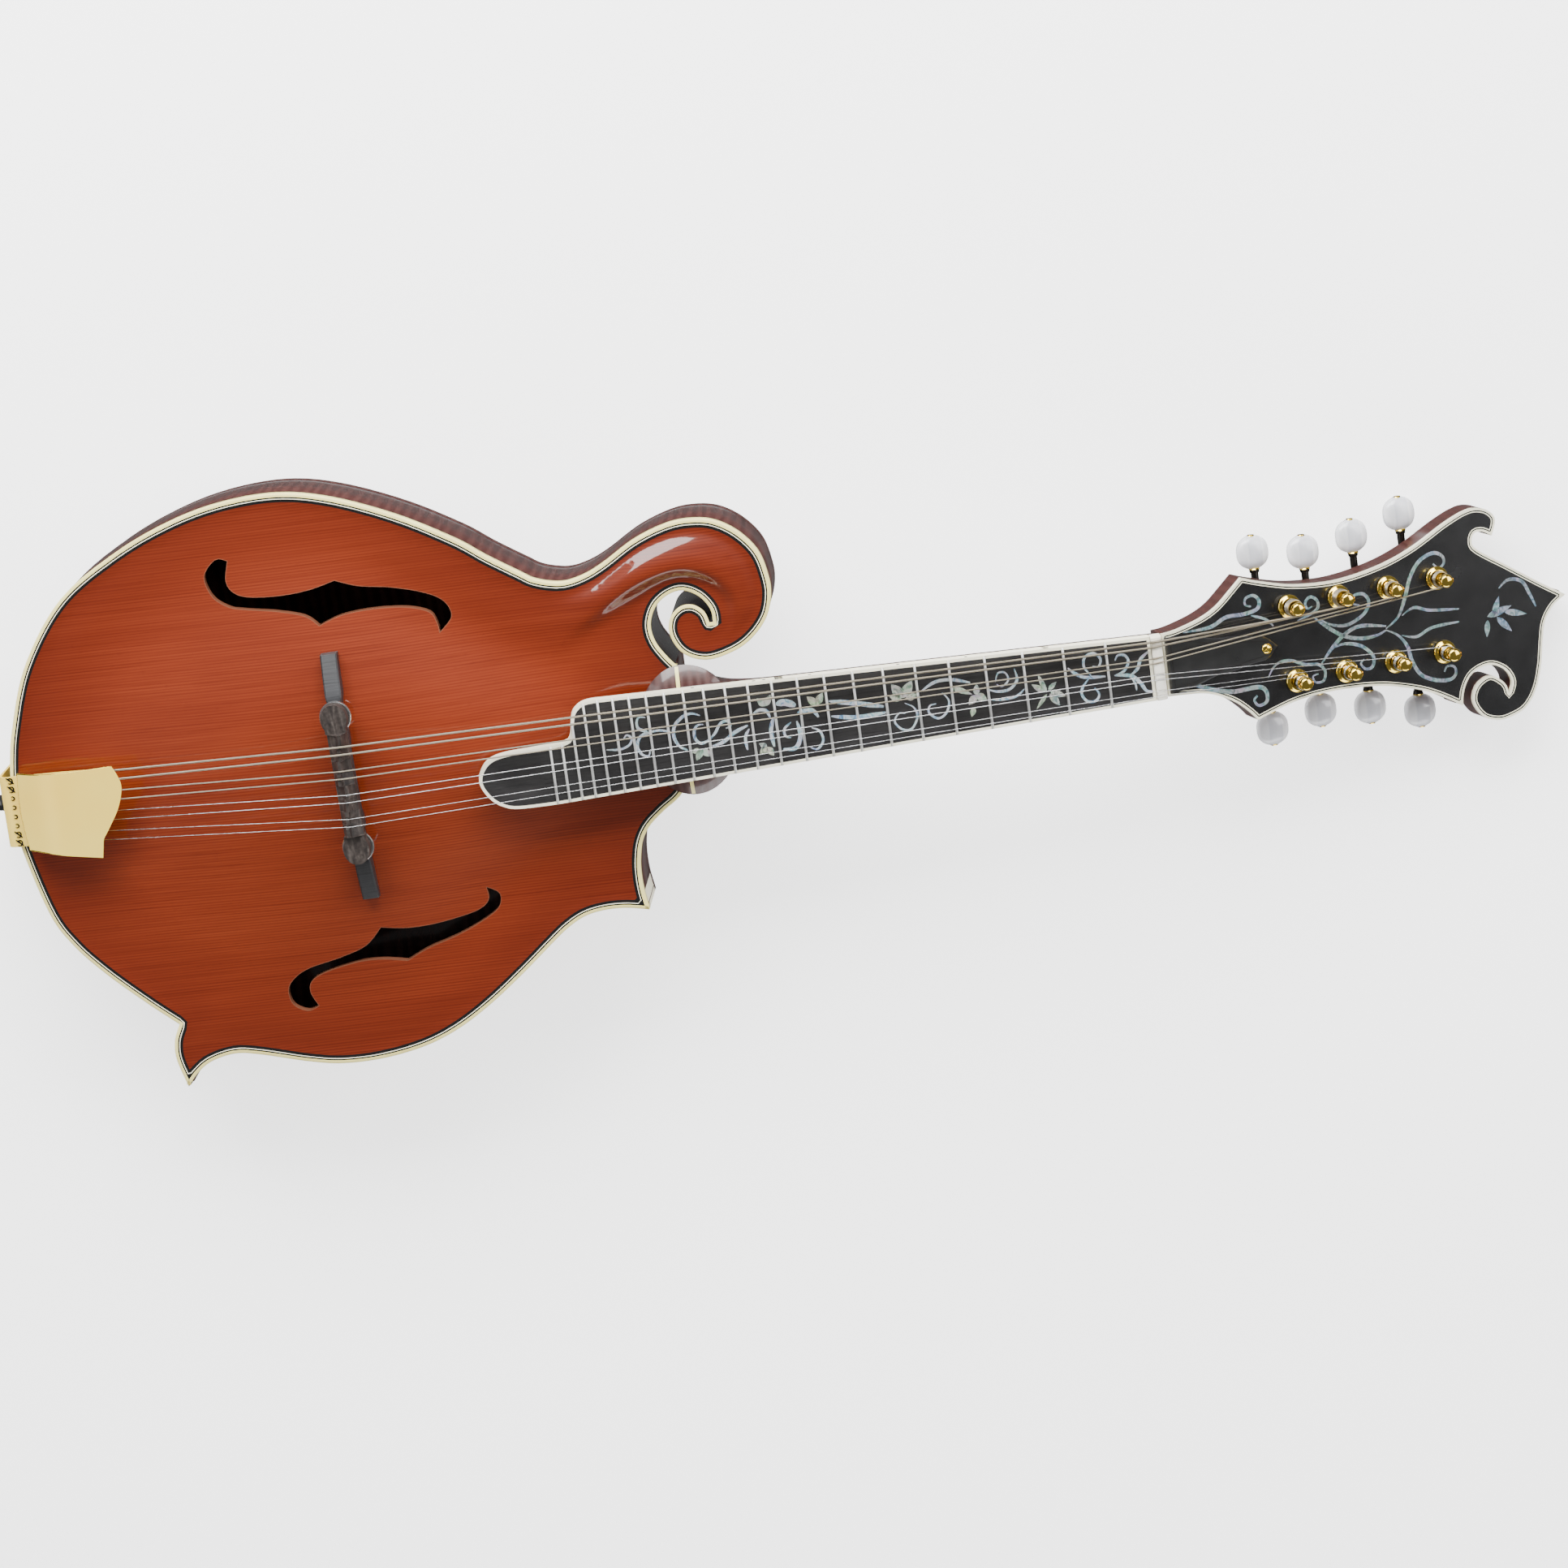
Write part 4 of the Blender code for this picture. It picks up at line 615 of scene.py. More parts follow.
def binding_cream(name="cream_binding", colour=CREAM):
    tree = Tree(name, roughness=0.36, coat=0.5, coat_roughness=0.08)
    cloud = tree.noise(60.0, 4.0)
    streak = tree.noise(1.0, 2.0, (40.0, 40.0, 2600.0))
    light = tuple(min(1.0, c * 1.04) for c in colour)
    dark = tuple(c * 0.90 for c in colour)
    base = tree.ramp(cloud, [(0.3, dark), (0.7, light)])
    lines = tree.ramp(streak, [(0.35, (0.94, 0.93, 0.90)), (0.6, (1.0, 1.0, 1.0))])
    tree.colour(tree.mix(0.6, base, lines, "MULTIPLY"))
    tree.roughness(cloud, 0.30, 0.44)
    tree.bump(streak, 0.00002, 0.3)
    return tree.material


def ebony_wood(name, bands, last, dark=(0.010, 0.0095, 0.0095), light=(0.022, 0.021, 0.021)):
    """Oiled black wood with open pores along the neck, with an optional bound edge."""
    tree = Tree(name, roughness=0.42)
    pores = tree.noise(1.0, 3.0, (60.0, 1500.0, 900.0))
    cloud = tree.noise(40.0, 3.0)
    base = tree.ramp(cloud, [(0.3, dark), (0.7, light)])
    marks = tree.ramp(pores, [(0.30, (0.45, 0.45, 0.45)), (0.44, (1.0, 1.0, 1.0)), (0.74, (1.5, 1.5, 1.5))])
    colour = tree.mix(0.9, base, marks, "MULTIPLY")
    tree.colour(bound(tree, colour, bands, last) if bands else colour)
    tree.roughness(pores, 0.50, 0.34)
    tree.bump(pores, 0.00006, 0.5)
    return tree.material


def head_lacquer():
    tree = Tree("head_lacquer", roughness=0.25, coat=1.0, coat_roughness=0.03)
    cloud = tree.noise(90.0, 5.0)
    base = tree.ramp(cloud, [(0.3, (0.0030, 0.0030, 0.0032)), (0.7, (0.0060, 0.0060, 0.0063))])
    lines = [(0.0, LINE_WHITE), (0.95, LINE_BLACK), (1.55, LINE_WHITE)]
    tree.colour(bound(tree, base, lines, 1.95))
    tree.roughness(cloud, 0.18, 0.32)
    return tree.material


def rough_saddle():
    tree = Tree("saddle_wood", roughness=0.6)
    grain = tree.noise(1.0, 5.0, (500.0, 90.0, 500.0), 0.8)
    chips = tree.noise(700.0, 5.0)
    base = tree.ramp(grain, [(0.32, (0.012, 0.008, 0.007)), (0.55, (0.036, 0.027, 0.023)),
                             (0.75, (0.080, 0.066, 0.058))])
    marks = tree.ramp(chips, [(0.35, (0.5, 0.48, 0.46)), (0.6, (1.1, 1.1, 1.1))])
    tree.colour(tree.mix(0.7, base, marks, "MULTIPLY"))
    tree.roughness(chips, 0.38, 0.7)
    tree.bump(chips, 0.00025, 0.6)
    return tree.material


def metal(name, colour, roughness=0.2, brushed=None, wear=0.12, carried=False):
    tree = Tree(name, roughness=roughness, metallic=1.0, carried=carried)
    cloud = tree.noise(120.0, 5.0)
    dark = tuple(c * (1.0 - wear) for c in colour)
    light = tuple(min(1.0, c * (1.0 + 0.4 * wear)) for c in colour)
    tree.colour(tree.ramp(cloud, [(0.3, dark), (0.7, light)]))
    lines = tree.noise(1.0, 2.0, brushed) if brushed else tree.noise(900.0, 3.0)
    tree.roughness(lines, roughness * 0.7, roughness * 1.4)
    tree.bump(lines, 0.00001, 0.3)
    return tree.material


def satin_gold():
    tree = Tree("satin_gold", roughness=0.5, metallic=0.25)
    cloud = tree.noise(25.0, 4.0)
    specks = tree.noise(2500.0, 2.0)
    tree.colour(tree.ramp(cloud, [(0.3, (1.0, 0.68, 0.10)), (0.7, (1.0, 0.75, 0.14))]))
    tree.roughness(cloud, 0.42, 0.56)
    tree.bump(specks, 0.00001, 0.25)
    return tree.material


def wound_wire():
    tree = Tree("wound_bronze", roughness=0.3, metallic=1.0)
    turns = tree.waves(1.0, "X", 0.0, 1.0, (1300.0, 0.0, 0.0))
    # The dark end of this ramp is painted shade in the grooves between the turns; the light end is the bronze on
    # their crowns.
    tree.colour(tree.ramp(turns, [(0.2, (0.16, 0.13, 0.09)), (0.7, (0.62, 0.56, 0.44))]))
    tree.bump(turns, 0.00008, 0.8)
    return tree.material


def plain_wire():
    tree = Tree("plain_steel", roughness=0.22, metallic=1.0)
    cloud = tree.noise(300.0, 3.0)
    tree.colour(tree.ramp(cloud, [(0.3, (0.40, 0.40, 0.40)), (0.7, (0.62, 0.62, 0.63))]))
    tree.roughness(cloud, 0.15, 0.3)
    return tree.material


def pearl_plastic():
    tree = Tree("pearl_plastic", roughness=0.22, coat=0.8, coat_roughness=0.04)
    swirl = tree.noise(1.0, 3.0, (42.0, 42.0, 20.0), 1.6)
    cloud = tree.noise(60.0, 3.0)
    base = tree.ramp(swirl, [(0.30, (0.66, 0.67, 0.70)), (0.50, (0.88, 0.88, 0.90)), (0.66, (0.97, 0.97, 0.97))])
    shade = tree.ramp(cloud, [(0.3, (0.94, 0.94, 0.95)), (0.7, (1.0, 1.0, 1.0))])
    band = tree.waves(1.0, "X", 1.2, 0.6, (20.0, 0.0, 9.0))
    milky = tree.ramp(band, [(0.30, (0.78, 0.79, 0.82)), (0.42, (1.0, 1.0, 1.0))])
    colour = tree.mix(0.8, base, shade, "MULTIPLY")
    tree.colour(tree.mix(0.9, colour, milky, "MULTIPLY"))
    tree.roughness(swirl, 0.16, 0.30)
    tree.shader.inputs["Subsurface Weight"].default_value = 0.12
    tree.shader.inputs["Subsurface Radius"].default_value = (0.002, 0.002, 0.002)
    return tree.material


def shell(name, stops):
    """Shell inlay: short bands of shifting colour under the finish."""
    tree = Tree(name, roughness=0.2, coat=1.0, coat_roughness=0.04)
    bands = tree.noise(1.0, 4.0, (260.0, 190.0, 100.0), 2.6)
    plates = tree.cells(210.0)
    colour = tree.ramp(bands, stops)
    tint = tree.mix(0.22, colour, plates, "SOFT_LIGHT")
    tree.colour(tint)
    tree.shader.inputs["Metallic"].default_value = 0.35
    tree.roughness(bands, 0.14, 0.34)
    return tree.material


def plastic(name, colour, roughness=0.3):
    tree = Tree(name, roughness=roughness, coat=0.4, coat_roughness=0.1)
    cloud = tree.noise(150.0, 4.0)
    tree.colour(tree.ramp(cloud, [(0.3, tuple(c * 0.8 for c in colour)), (0.7, tuple(c * 1.2 for c in colour))]))
    tree.roughness(cloud, roughness * 0.8, roughness * 1.2)
    tree.bump(tree.noise(2200.0, 2.0), 0.00001, 0.2)
    return tree.material


def bone_nut():
    tree = Tree("bone_nut", roughness=0.4, coat=0.2)
    cloud = tree.noise(160.0, 5.0)
    streak = tree.noise(1.0, 3.0, (400.0, 60.0, 400.0))
    base = tree.ramp(cloud, [(0.3, (0.90, 0.86, 0.74)), (0.7, (0.98, 0.96, 0.87))])
    marks = tree.ramp(streak, [(0.35, (0.90, 0.87, 0.82)), (0.6, (1.0, 1.0, 1.0))])
    tree.colour(tree.mix(0.6, base, marks, "MULTIPLY"))
    tree.roughness(cloud, 0.32, 0.48)
    return tree.material


def floor_paper():
    tree = Tree("floor_paper", roughness=0.9, carried=True)
    cloud = tree.noise(3.0, 3.0)
    tree.colour(tree.ramp(cloud, [(0.3, (0.94, 0.94, 0.94)), (0.7, (0.96, 0.96, 0.96))]))
    tree.shader.inputs["Emission Color"].default_value = (1.0, 1.0, 1.0, 1.0)
    tree.shader.inputs["Emission Strength"].default_value = 2.0
    return tree.material


LOOK = {
    "top": spruce_varnish(),
    "rib": maple_varnish("maple_ribs", (75.0, 75.0, 14.0), 0.4),
    "back": maple_varnish("maple_back", (60.0, 14.0, 14.0)),
    "neck": maple_varnish("maple_neck", (85.0, 14.0, 14.0), 0.4),
    "spruce": raw_spruce(),
    "cream": binding_cream(),
    "ivory": binding_cream("ivory_point", (0.92, 0.87, 0.68)),
    "board": ebony_wood("ebony_board", [(0.0, (0.95, 0.91, 0.72))], BOARD_BINDING),
    "ebony": ebony_wood("ebony_base", None, 0.0, (0.012, 0.012, 0.013), (0.026, 0.0265, 0.029)),
    "cap": ebony_wood("ebony_cap", None, 0.0),
    "head": head_lacquer(),
    "saddle": rough_saddle(),
    "gold": metal("polished_gold", (1.0, 0.70, 0.13), 0.12),
    "tuner_gold": metal("plate_gold", (0.90, 0.64, 0.24), 0.24, (60.0, 1800.0, 1800.0)),
    "satin": satin_gold(),
    "steel": metal("nickel_steel", (0.78, 0.78, 0.77), 0.20),
    "rod_steel": metal("rod_steel", (0.62, 0.62, 0.61), 0.28, carried=True),
    "rod_nut_gold": metal("rod_nut_gold", (0.95, 0.66, 0.20), 0.16, carried=True),
    "fret": metal("fret_wire", (0.95, 0.95, 0.93), 0.42, (900.0, 60.0, 900.0), 0.04),
    "dark_metal": metal("dark_shaft", (0.045, 0.042, 0.040), 0.35),
    "wound": wound_wire(),
    "plain": plain_wire(),
    "pearl": pearl_plastic(),
    "shell": shell("pearl_shell", [(0.28, (0.10, 0.20, 0.30)), (0.42, (0.36, 0.56, 0.70)), (0.55, (0.74, 0.80, 0.84)),
                                   (0.72, (0.48, 0.46, 0.62))]),
    "vine": shell("blue_shell", [(0.28, (0.07, 0.12, 0.14)), (0.45, (0.17, 0.26, 0.28)), (0.58, (0.36, 0.42, 0.46)),
                                 (0.72, (0.26, 0.24, 0.33))]),
    "abalone": shell("green_shell", [(0.28, (0.10, 0.16, 0.13)), (0.45, (0.36, 0.46, 0.36)),
                                     (0.58, (0.66, 0.70, 0.58)), (0.72, (0.44, 0.40, 0.46))]),
    "black": plastic("black_plastic", (0.012, 0.012, 0.012)),
    "dark_lacquer": plastic("dark_lacquer", (0.016, 0.010, 0.009), 0.22),
    "bone": bone_nut(),
    "floor": floor_paper(),
}


# ---------------------------------------------------------------- meshes

def add_piece(name, mesh, look, place, body="root", replaces=(), smooth=35.0):
    """Put a mesh, whose points are metres in the given frame, on a body of the model."""
    own = np.empty(3 * len(mesh.vertices), np.float32)
    mesh.vertices.foreach_get("co", own)
    mesh.attributes.new(OWN_PLACE, "FLOAT_VECTOR", "POINT").data.foreach_set("vector", own)
    mesh.transform(place)
    mesh.update()
    piece = bpy.data.objects.new(name, mesh)
    bpy.context.scene.collection.objects.link(piece)
    mesh.materials.append(LOOK[look])
    if smooth:
        mesh.shade_smooth()
        mesh.set_sharp_from_angle(angle=math.radians(smooth))
    if replaces:
        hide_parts(*replaces)
    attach(piece, body)
    return piece


def mesh_from_bmesh(name, shape):
    bmesh.ops.recalc_face_normals(shape, faces=shape.faces)
    mesh = bpy.data.meshes.new(name)
    shape.to_mesh(mesh)
    shape.free()
    return mesh


def loft_mesh(name, rings, capped=True, closed=True):
    """A skin through rings of equally many points, with flat caps at both ends."""
    shape = bmesh.new()
    rows = [[shape.verts.new([c * MM for c in point]) for point in ring] for ring in rings]
    count = len(rings[0])
    for row, following in zip(rows, rows[1:]):
        for k in range(count if closed else count - 1):
            after = (k + 1) % count
            shape.faces.new((row[k], row[after], following[after], following[k]))
    if capped:
        shape.faces.new(rows[0])
        shape.faces.new(rows[-1])
    return mesh_from_bmesh(name, shape)


def turned_mesh(name, profile, sides=32):
    """A turned shape about Z from a profile of (radius, height)."""
    rings = []
    for radius, height in profile:
        rings.append([(max(radius, 0.001) * math.cos(2 * math.pi * k / sides),
                       max(radius, 0.001) * math.sin(2 * math.pi * k / sides), height)
                      for k in range(sides)])
    return loft_mesh(name, rings)


def joined(name, meshes):
    """One mesh from several, each given with its own placing matrix."""
    shape = bmesh.new()
    for mesh, place in meshes:
        before = len(shape.verts)
        shape.from_mesh(mesh)
        shape.verts.ensure_lookup_table()
        bmesh.ops.transform(shape, matrix=place, verts=shape.verts[before:])
    mesh = bpy.data.meshes.new(name)
    shape.to_mesh(mesh)
    shape.free()
    return mesh


def moved(x, y, z):
    return Matrix.Translation((x * MM, y * MM, z * MM))


def box_mesh(name, low, high, bevel=0.0):
    shape = bmesh.new()
    size = [(b - a) * MM for a, b in zip(low, high)]
    centre = [0.5 * (a + b) * MM for a, b in zip(low, high)]
    bmesh.ops.create_cube(shape, size=1.0, matrix=Matrix.Translation(centre) @ Matrix.Diagonal((*size, 1.0)))
    if bevel:
        bmesh.ops.bevel(shape, geom=shape.edges[:], offset=bevel * MM, segments=2, profile=0.5, affect="EDGES")
    return mesh_from_bmesh(name, shape)


def grid_points(low, high, spacing):
    """Staggered rows of points in a box."""
    points = []
    row = 0
    y = low[1]
    while y <= high[1]:
        x = low[0] + (0.5 * spacing if row % 2 else 0.0)
        while x <= high[0]:
            points.append((x, y))
            x += spacing
        y += spacing * 0.87
        row += 1
    return points


def filled(outer, holes, guides, points):
    """Triangles inside the outer loop and outside the holes, through all guide loops and points."""
    coordinates = []
    edges = []
    for loop in [outer] + holes + guides:
        start = len(coordinates)
        coordinates += [Vector(p[:2]) for p in loop]
        edges += [(start + k, start + (k + 1) % len(loop)) for k in range(len(loop))]
    coordinates += [Vector(p) for p in points]
    result = delaunay_2d_cdt(coordinates, edges, [], 0, 0.0001, False)
    flat = [(v.x, v.y) for v in result[0]]
    triangles = [tuple(face) for face in result[2] if len(face) == 3]
    corners = np.array(flat)[np.array(triangles)]
    centres = corners.mean(1)
    keep = inside(centres, outer)
    for hole in holes:
        keep &= ~inside(centres, hole)
    return flat, [t for t, good in zip(triangles, keep) if good]


def offset_guide(loop, distance):
    """Points of an even inner offset, without the loops that a plain offset makes at tight bends."""
    moved_loop = inset(loop, distance)
    keep = distances(moved_loop, loop) > distance - 0.06
    return [p for p, good in zip(moved_loop, keep) if good]


def plate_mesh(name, outer, holes, guides, points, upper, lower, edge_loop, hole_loops=()):
    """A closed plate between two height functions, with its distance to the edge as an attribute."""
    flat, triangles = filled(outer, holes, guides, points)
    used = sorted({index for t in triangles for index in t})
    number = {index: k for k, index in enumerate(used)}
    triangles = [tuple(number[i] for i in t) for t in triangles]
    flat = [flat[i] for i in used]
    ordered = []
    for t in triangles:
        (ax, ay), (bx, by), (cx, cy) = (flat[i] for i in t)
        ordered.append(t if (bx - ax) * (cy - ay) - (by - ay) * (cx - ax) > 0 else (t[0], t[2], t[1]))
    count = len(flat)
    vertices = [(x * MM, y * MM, upper(x, y) * MM) for x, y in flat]
    vertices += [(x * MM, y * MM, lower(x, y) * MM) for x, y in flat]
    faces = list(ordered) + [(c + count, b + count, a + count) for a, b, c in ordered]
    directed = {(t[k], t[(k + 1) % 3]) for t in ordered for k in range(3)}
    faces += [(b, a, a + count, b + count) for a, b in directed if (b, a) not in directed]
    mesh = bpy.data.meshes.new(name)
    mesh.from_pydata(vertices, [], faces)
    values = distances(flat, edge_loop)
    attribute = mesh.attributes.new("edge", "FLOAT", "POINT")
    attribute.data.foreach_set("value", np.concatenate([values, values]).astype(np.float32))
    if hole_loops:
        near = np.min([distances(flat, loop) for loop in hole_loops], axis=0)
        attribute = mesh.attributes.new("hole_edge", "FLOAT", "POINT")
        attribute.data.foreach_set("value", np.concatenate([near, near]).astype(np.float32))
    return mesh


def well_inside(points, loops, margin):
    """The points that keep a margin from every loop."""
    near = np.min([distances(points, loop) for loop in loops], axis=0)
    return [p for p, gap in zip(points, near) if gap > margin]


def band_mesh(name, outer, inner, low, high, crown=0.25):
    """A closed strip between two loops of equally many points, with its outer edges eased."""
    rings = []
    lows = low if isinstance(low, list) else [low] * len(outer)
    for (ox, oy), (ix, iy), low in zip(outer, inner, lows):
        length = max(0.01, math.hypot(ix - ox, iy - oy))
        dx = (ix - ox) / length * crown
        dy = (iy - oy) / length * crown
        rings.append([(ix, iy, low), (ox + dx, oy + dy, low), (ox, oy, low + crown), (ox, oy, high - crown),
                      (ox + dx, oy + dy, high), (ix, iy, high)])
    rings.append(rings[0])
    mesh = loft_mesh(name, rings, capped=False)
    shape = bmesh.new()
    shape.from_mesh(mesh)
    bmesh.ops.remove_doubles(shape, verts=shape.verts, dist=0.0000005)
    bmesh.ops.recalc_face_normals(shape, faces=shape.faces)
    shape.to_mesh(mesh)
    shape.free()
    return mesh


def ribbon_mesh(name, strokes, leaves, low, high, fullness=1.0):
    """Flat inlay: tapered strokes along smooth lines, and pointed leaves."""
    shape = bmesh.new()

    def strip(left, right):
        rows = []
        for (lx, ly), (rx, ry) in zip(left, right):
            rows.append([shape.verts.new((x * MM, y * MM, z * MM))
                         for x, y, z in ((lx, ly, low), (lx, ly, high), (rx, ry, high), (rx, ry, low))])
        for row, following in zip(rows, rows[1:]):
            for k in range(4):
                shape.faces.new((row[k], row[(k + 1) % 4], following[(k + 1) % 4], following[k]))
        shape.faces.new(rows[0])
        shape.faces.new(rows[-1])

    for points, width in strokes:
        line = spline_run(points, 0.5) + [points[-1]]
        last = len(line) - 1
        left = []
        right = []
        for i, point in enumerate(line):
            before = line[max(i - 1, 0)]
            after = line[min(i + 1, last)]
            along = Vector((after[0] - before[0], after[1] - before[1])).normalized()
            share = i / last
            half = 0.5 * fullness * width * (0.30 + 0.70 * min(1.0, 4.0 * share, 3.0 * (1.0 - share) + 0.2))
            left.append((point[0] - along.y * half, point[1] + along.x * half))
            right.append((point[0] + along.y * half, point[1] - along.x * half))
        strip(left, right)
    for base, tip, half in leaves:
        along = Vector((tip[0] - base[0], tip[1] - base[1]))
        side = Vector((-along.y, along.x)).normalized()
        left = []
        right = []
        for i in range(9):
            t = i / 8
            bulge = half * math.sin(math.pi * min(1.0, t ** 0.8)) + 0.06
            centre = (base[0] + along.x * t, base[1] + along.y * t)
            left.append((centre[0] + side.x * bulge, centre[1] + side.y * bulge))
            right.append((centre[0] - side.x * bulge, centre[1] - side.y * bulge))
        strip(left, right)
    return mesh_from_bmesh(name, shape)


def tube_mesh(name, points, radius, sides=10):
    """A round tube through points, each ring square to the line."""
    rings = []
    last = len(points) - 1
    normal = None
    for i, point in enumerate(points):
        before = Vector(points[max(i - 1, 0)])
        after = Vector(points[min(i + 1, last)])
        along = (after - before).normalized()
        if normal is None:
            normal = along.orthogonal().normalized()
        normal = (normal - along * normal.dot(along)).normalized()
        side = along.cross(normal)
        rings.append([tuple(Vector(point) + radius * (math.cos(2 * math.pi * k / sides) * normal
                                                      + math.sin(2 * math.pi * k / sides) * side))
                      for k in range(sides)])
    return loft_mesh(name, rings)


# ---------------------------------------------------------------- body

def scroll_rise(x, y):
    """Height of the carved ridge that winds round the scroll: gentle outside, steep towards the slot."""
    if x < 236.0 or y < 24.0:
        return 0.0
    best = None
    for (ax, ay, ah), (bx, by, bh) in zip(CREST_LINE, CREST_LINE[1:]):
        dx, dy = bx - ax, by - ay
        t = min(1.0, max(0.0, ((x - ax) * dx + (y - ay) * dy) / (dx * dx + dy * dy)))
        gap = math.hypot(x - ax - dx * t, y - ay - dy * t)
        if best is None or gap < best[0]:
            side = dx * (y - ay) - dy * (x - ax)
            best = (gap, side, ah + (bh - ah) * t)
    gap, side, height = best
    if side > 0.0:
        return height * math.exp(-(gap / 12.5) ** 2)
    return height * (1.25 * math.exp(-(gap / 5.0) ** 2) - 0.25 * math.exp(-(gap / 11.0) ** 2))


CREST_LINE = spline_run(SCROLL_CREST, 4.0) + [SCROLL_CREST[-1]]
FACET_ALLOWANCE = 0.2          # the model's outline is faceted, and cuts this far into the curves
BODY_LINE = inset(outline(BODY_RUNS), FACET_ALLOWANCE)
F_LINES = [outline(F_HOLE_BASS, 1.2), outline(F_HOLE_TREBLE, 1.2)]


def top_heights(flat):
    """Soundboard heights on the given points: the arch, the scroll's ridge and the level edge."""
    gaps = distances(flat, BODY_LINE)
    heights = {}
    for (x, y), gap in zip(flat, gaps):
        ease = smooth_step((gap - 2.5) / 8.0)
        heights[(x, y)] = TOP_ARCH * arch(x, y) + scroll_rise(x, y) * ease - 0.35 * smooth_step(
            (gap - 3.6) / 2.0) * (1.0 - smooth_step((gap - 6.0) / 14.0))
    return heights


def make_body():
    edge = inset(BODY_LINE, BINDING_WIDTH + 0.02)
    guides = [offset_guide(BODY_LINE, PURFLING_END + 0.05), offset_guide(BODY_LINE, 7.0)]
    loops = [BODY_LINE] + F_LINES
    field = grid_points((0.0, -136.0), (346.0, 128.0), 3.0)
    scroll = grid_points((240.0, 26.0), (346.0, 94.0), 1.7)
    field = [p for p in field if not (240.0 < p[0] < 346.0 and 26.0 < p[1] < 94.0)] + scroll
    field = [p for p, good in zip(field, inside(field, BODY_LINE)) if good]
    field = well_inside(field, loops, 1.1)
    field = well_inside(field, guides, 0.8)

    heights = {}

    def upper(x, y):
        return heights[(x, y)]

    flat, _ = filled(edge, F_LINES, guides, field)
    heights.update(top_heights(flat))
    top = plate_mesh("soundboard_carved", edge, F_LINES, guides, field, upper,
                     lambda x, y: TOP_ARCH * arch(x, y) - TOP_THICKNESS, BODY_LINE, F_LINES)
    add_piece("soundboard_carved", top, "top", LYING, replaces=["soundboard"], smooth=40.0)

    back_field = [p for p in grid_points((0.0, -136.0), (346.0, 128.0), 4.5)]
    back_field = [p for p, good in zip(back_field, inside(back_field, BODY_LINE)) if good]
    back_field = well_inside(back_field, [BODY_LINE], 2.6)
    back = plate_mesh("back_carved", edge, [], [], back_field,
                      lambda x, y: -RIM_HEIGHT - BACK_ARCH * arch(x, y) + TOP_THICKNESS,
                      lambda x, y: -RIM_HEIGHT - BACK_ARCH * arch(x, y), BODY_LINE)
    add_piece("back_carved", back, "back", LYING, replaces=["back_plate"], smooth=40.0)

    inner = inset(BODY_LINE, BINDING_WIDTH)
    lows = [SLOT_BINDING if in_slot(p) else -PLATE_EDGE for p in BODY_LINE]
    top_band = band_mesh("top_binding_strip", BODY_LINE, inner, lows, 0.0)
    add_piece("top_binding_strip", top_band, "cream", LYING, replaces=["top_binding"], smooth=50.0)
    back_band = band_mesh("back_edge_strip", BODY_LINE, inner, -RIM_HEIGHT, PLATE_EDGE - RIM_HEIGHT)
    add_piece("back_edge_strip", back_band, "rib", LYING, replaces=["back_binding"],
              smooth=50.0)
    shy = inset(BODY_LINE, 0.08)
    ribs = band_mesh("bent_ribs", shy, inset(BODY_LINE, RIB_THICKNESS), PLATE_EDGE - RIM_HEIGHT + 0.02,
                     -PLATE_EDGE - 0.02, 0.1)
    add_piece("bent_ribs", ribs, "rib", LYING, replaces=["ribs"], smooth=50.0)
    for name, low, high in (("top", -PLATE_EDGE - 0.9, -PLATE_EDGE - 0.1),
                            ("back", PLATE_EDGE - RIM_HEIGHT + 0.1, PLATE_EDGE - RIM_HEIGHT + 0.9)):
        line = band_mesh("side_line_" + name, inset(BODY_LINE, 0.04), inset(BODY_LINE, 1.2), low, high, 0.02)
        add_piece("side_line_" + name, line, "black", LYING, smooth=50.0)
    make_slot_wall()
    make_point_protectors()
    make_inner_wood()


def in_slot(point):
    """Whether an outline point lies on the wall of the slot inside the scroll."""
    return 289.0 < point[0] < 318.0 and 28.8 < point[1] < 62.5


def make_slot_wall():
    """Dark lacquered wall of the scroll's slot, under its thin binding."""
    wall = [k for k, p in enumerate(BODY_LINE) if in_slot(p)]
    outer = inset(BODY_LINE, 0.03)
    inner = inset(BODY_LINE, 0.5)
    low = PLATE_EDGE - RIM_HEIGHT
    rings = [[(*outer[k], low), (*outer[k], SLOT_BINDING - 0.02), (*inner[k], SLOT_BINDING - 0.02), (*inner[k], low)]
             for k in wall]
    add_piece("scroll_slot_wall", loft_mesh("scroll_slot_wall", rings), "dark_lacquer", LYING,
              smooth=50.0)


def make_point_protectors():
    """Ivory caps over the ribs at the two body points."""
    for name, tip, reach in (("lower", (58.1, -134.0), 7.0), ("upper", (273.0, -78.3), 9.0)):
        rings = []
        count = len(BODY_LINE)
        start = min(range(count), key=lambda i: math.dist(BODY_LINE[i], tip))
        chosen = [BODY_LINE[(start + k) % count] for k in range(-round(reach / 1.5), round(reach / 1.5) + 1)]
        low = PLATE_EDGE - RIM_HEIGHT + 0.3
        high = -PLATE_EDGE - 0.3
        mean = (sum(p[0] for p in chosen) / len(chosen), sum(p[1] for p in chosen) / len(chosen))
        for x, y in chosen:
            pull = 1.5 / max(1.0, math.dist((x, y), mean))
            inner = (x + (mean[0] - x) * pull, y + (mean[1] - y) * pull)
            rings.append([(x, y, low), (x, y, high), (*inner, high), (*inner, low)])
        cap = loft_mesh("point_cap_" + name, rings)
        add_piece("point_cap_" + name, cap, "ivory", LYING, smooth=50.0)


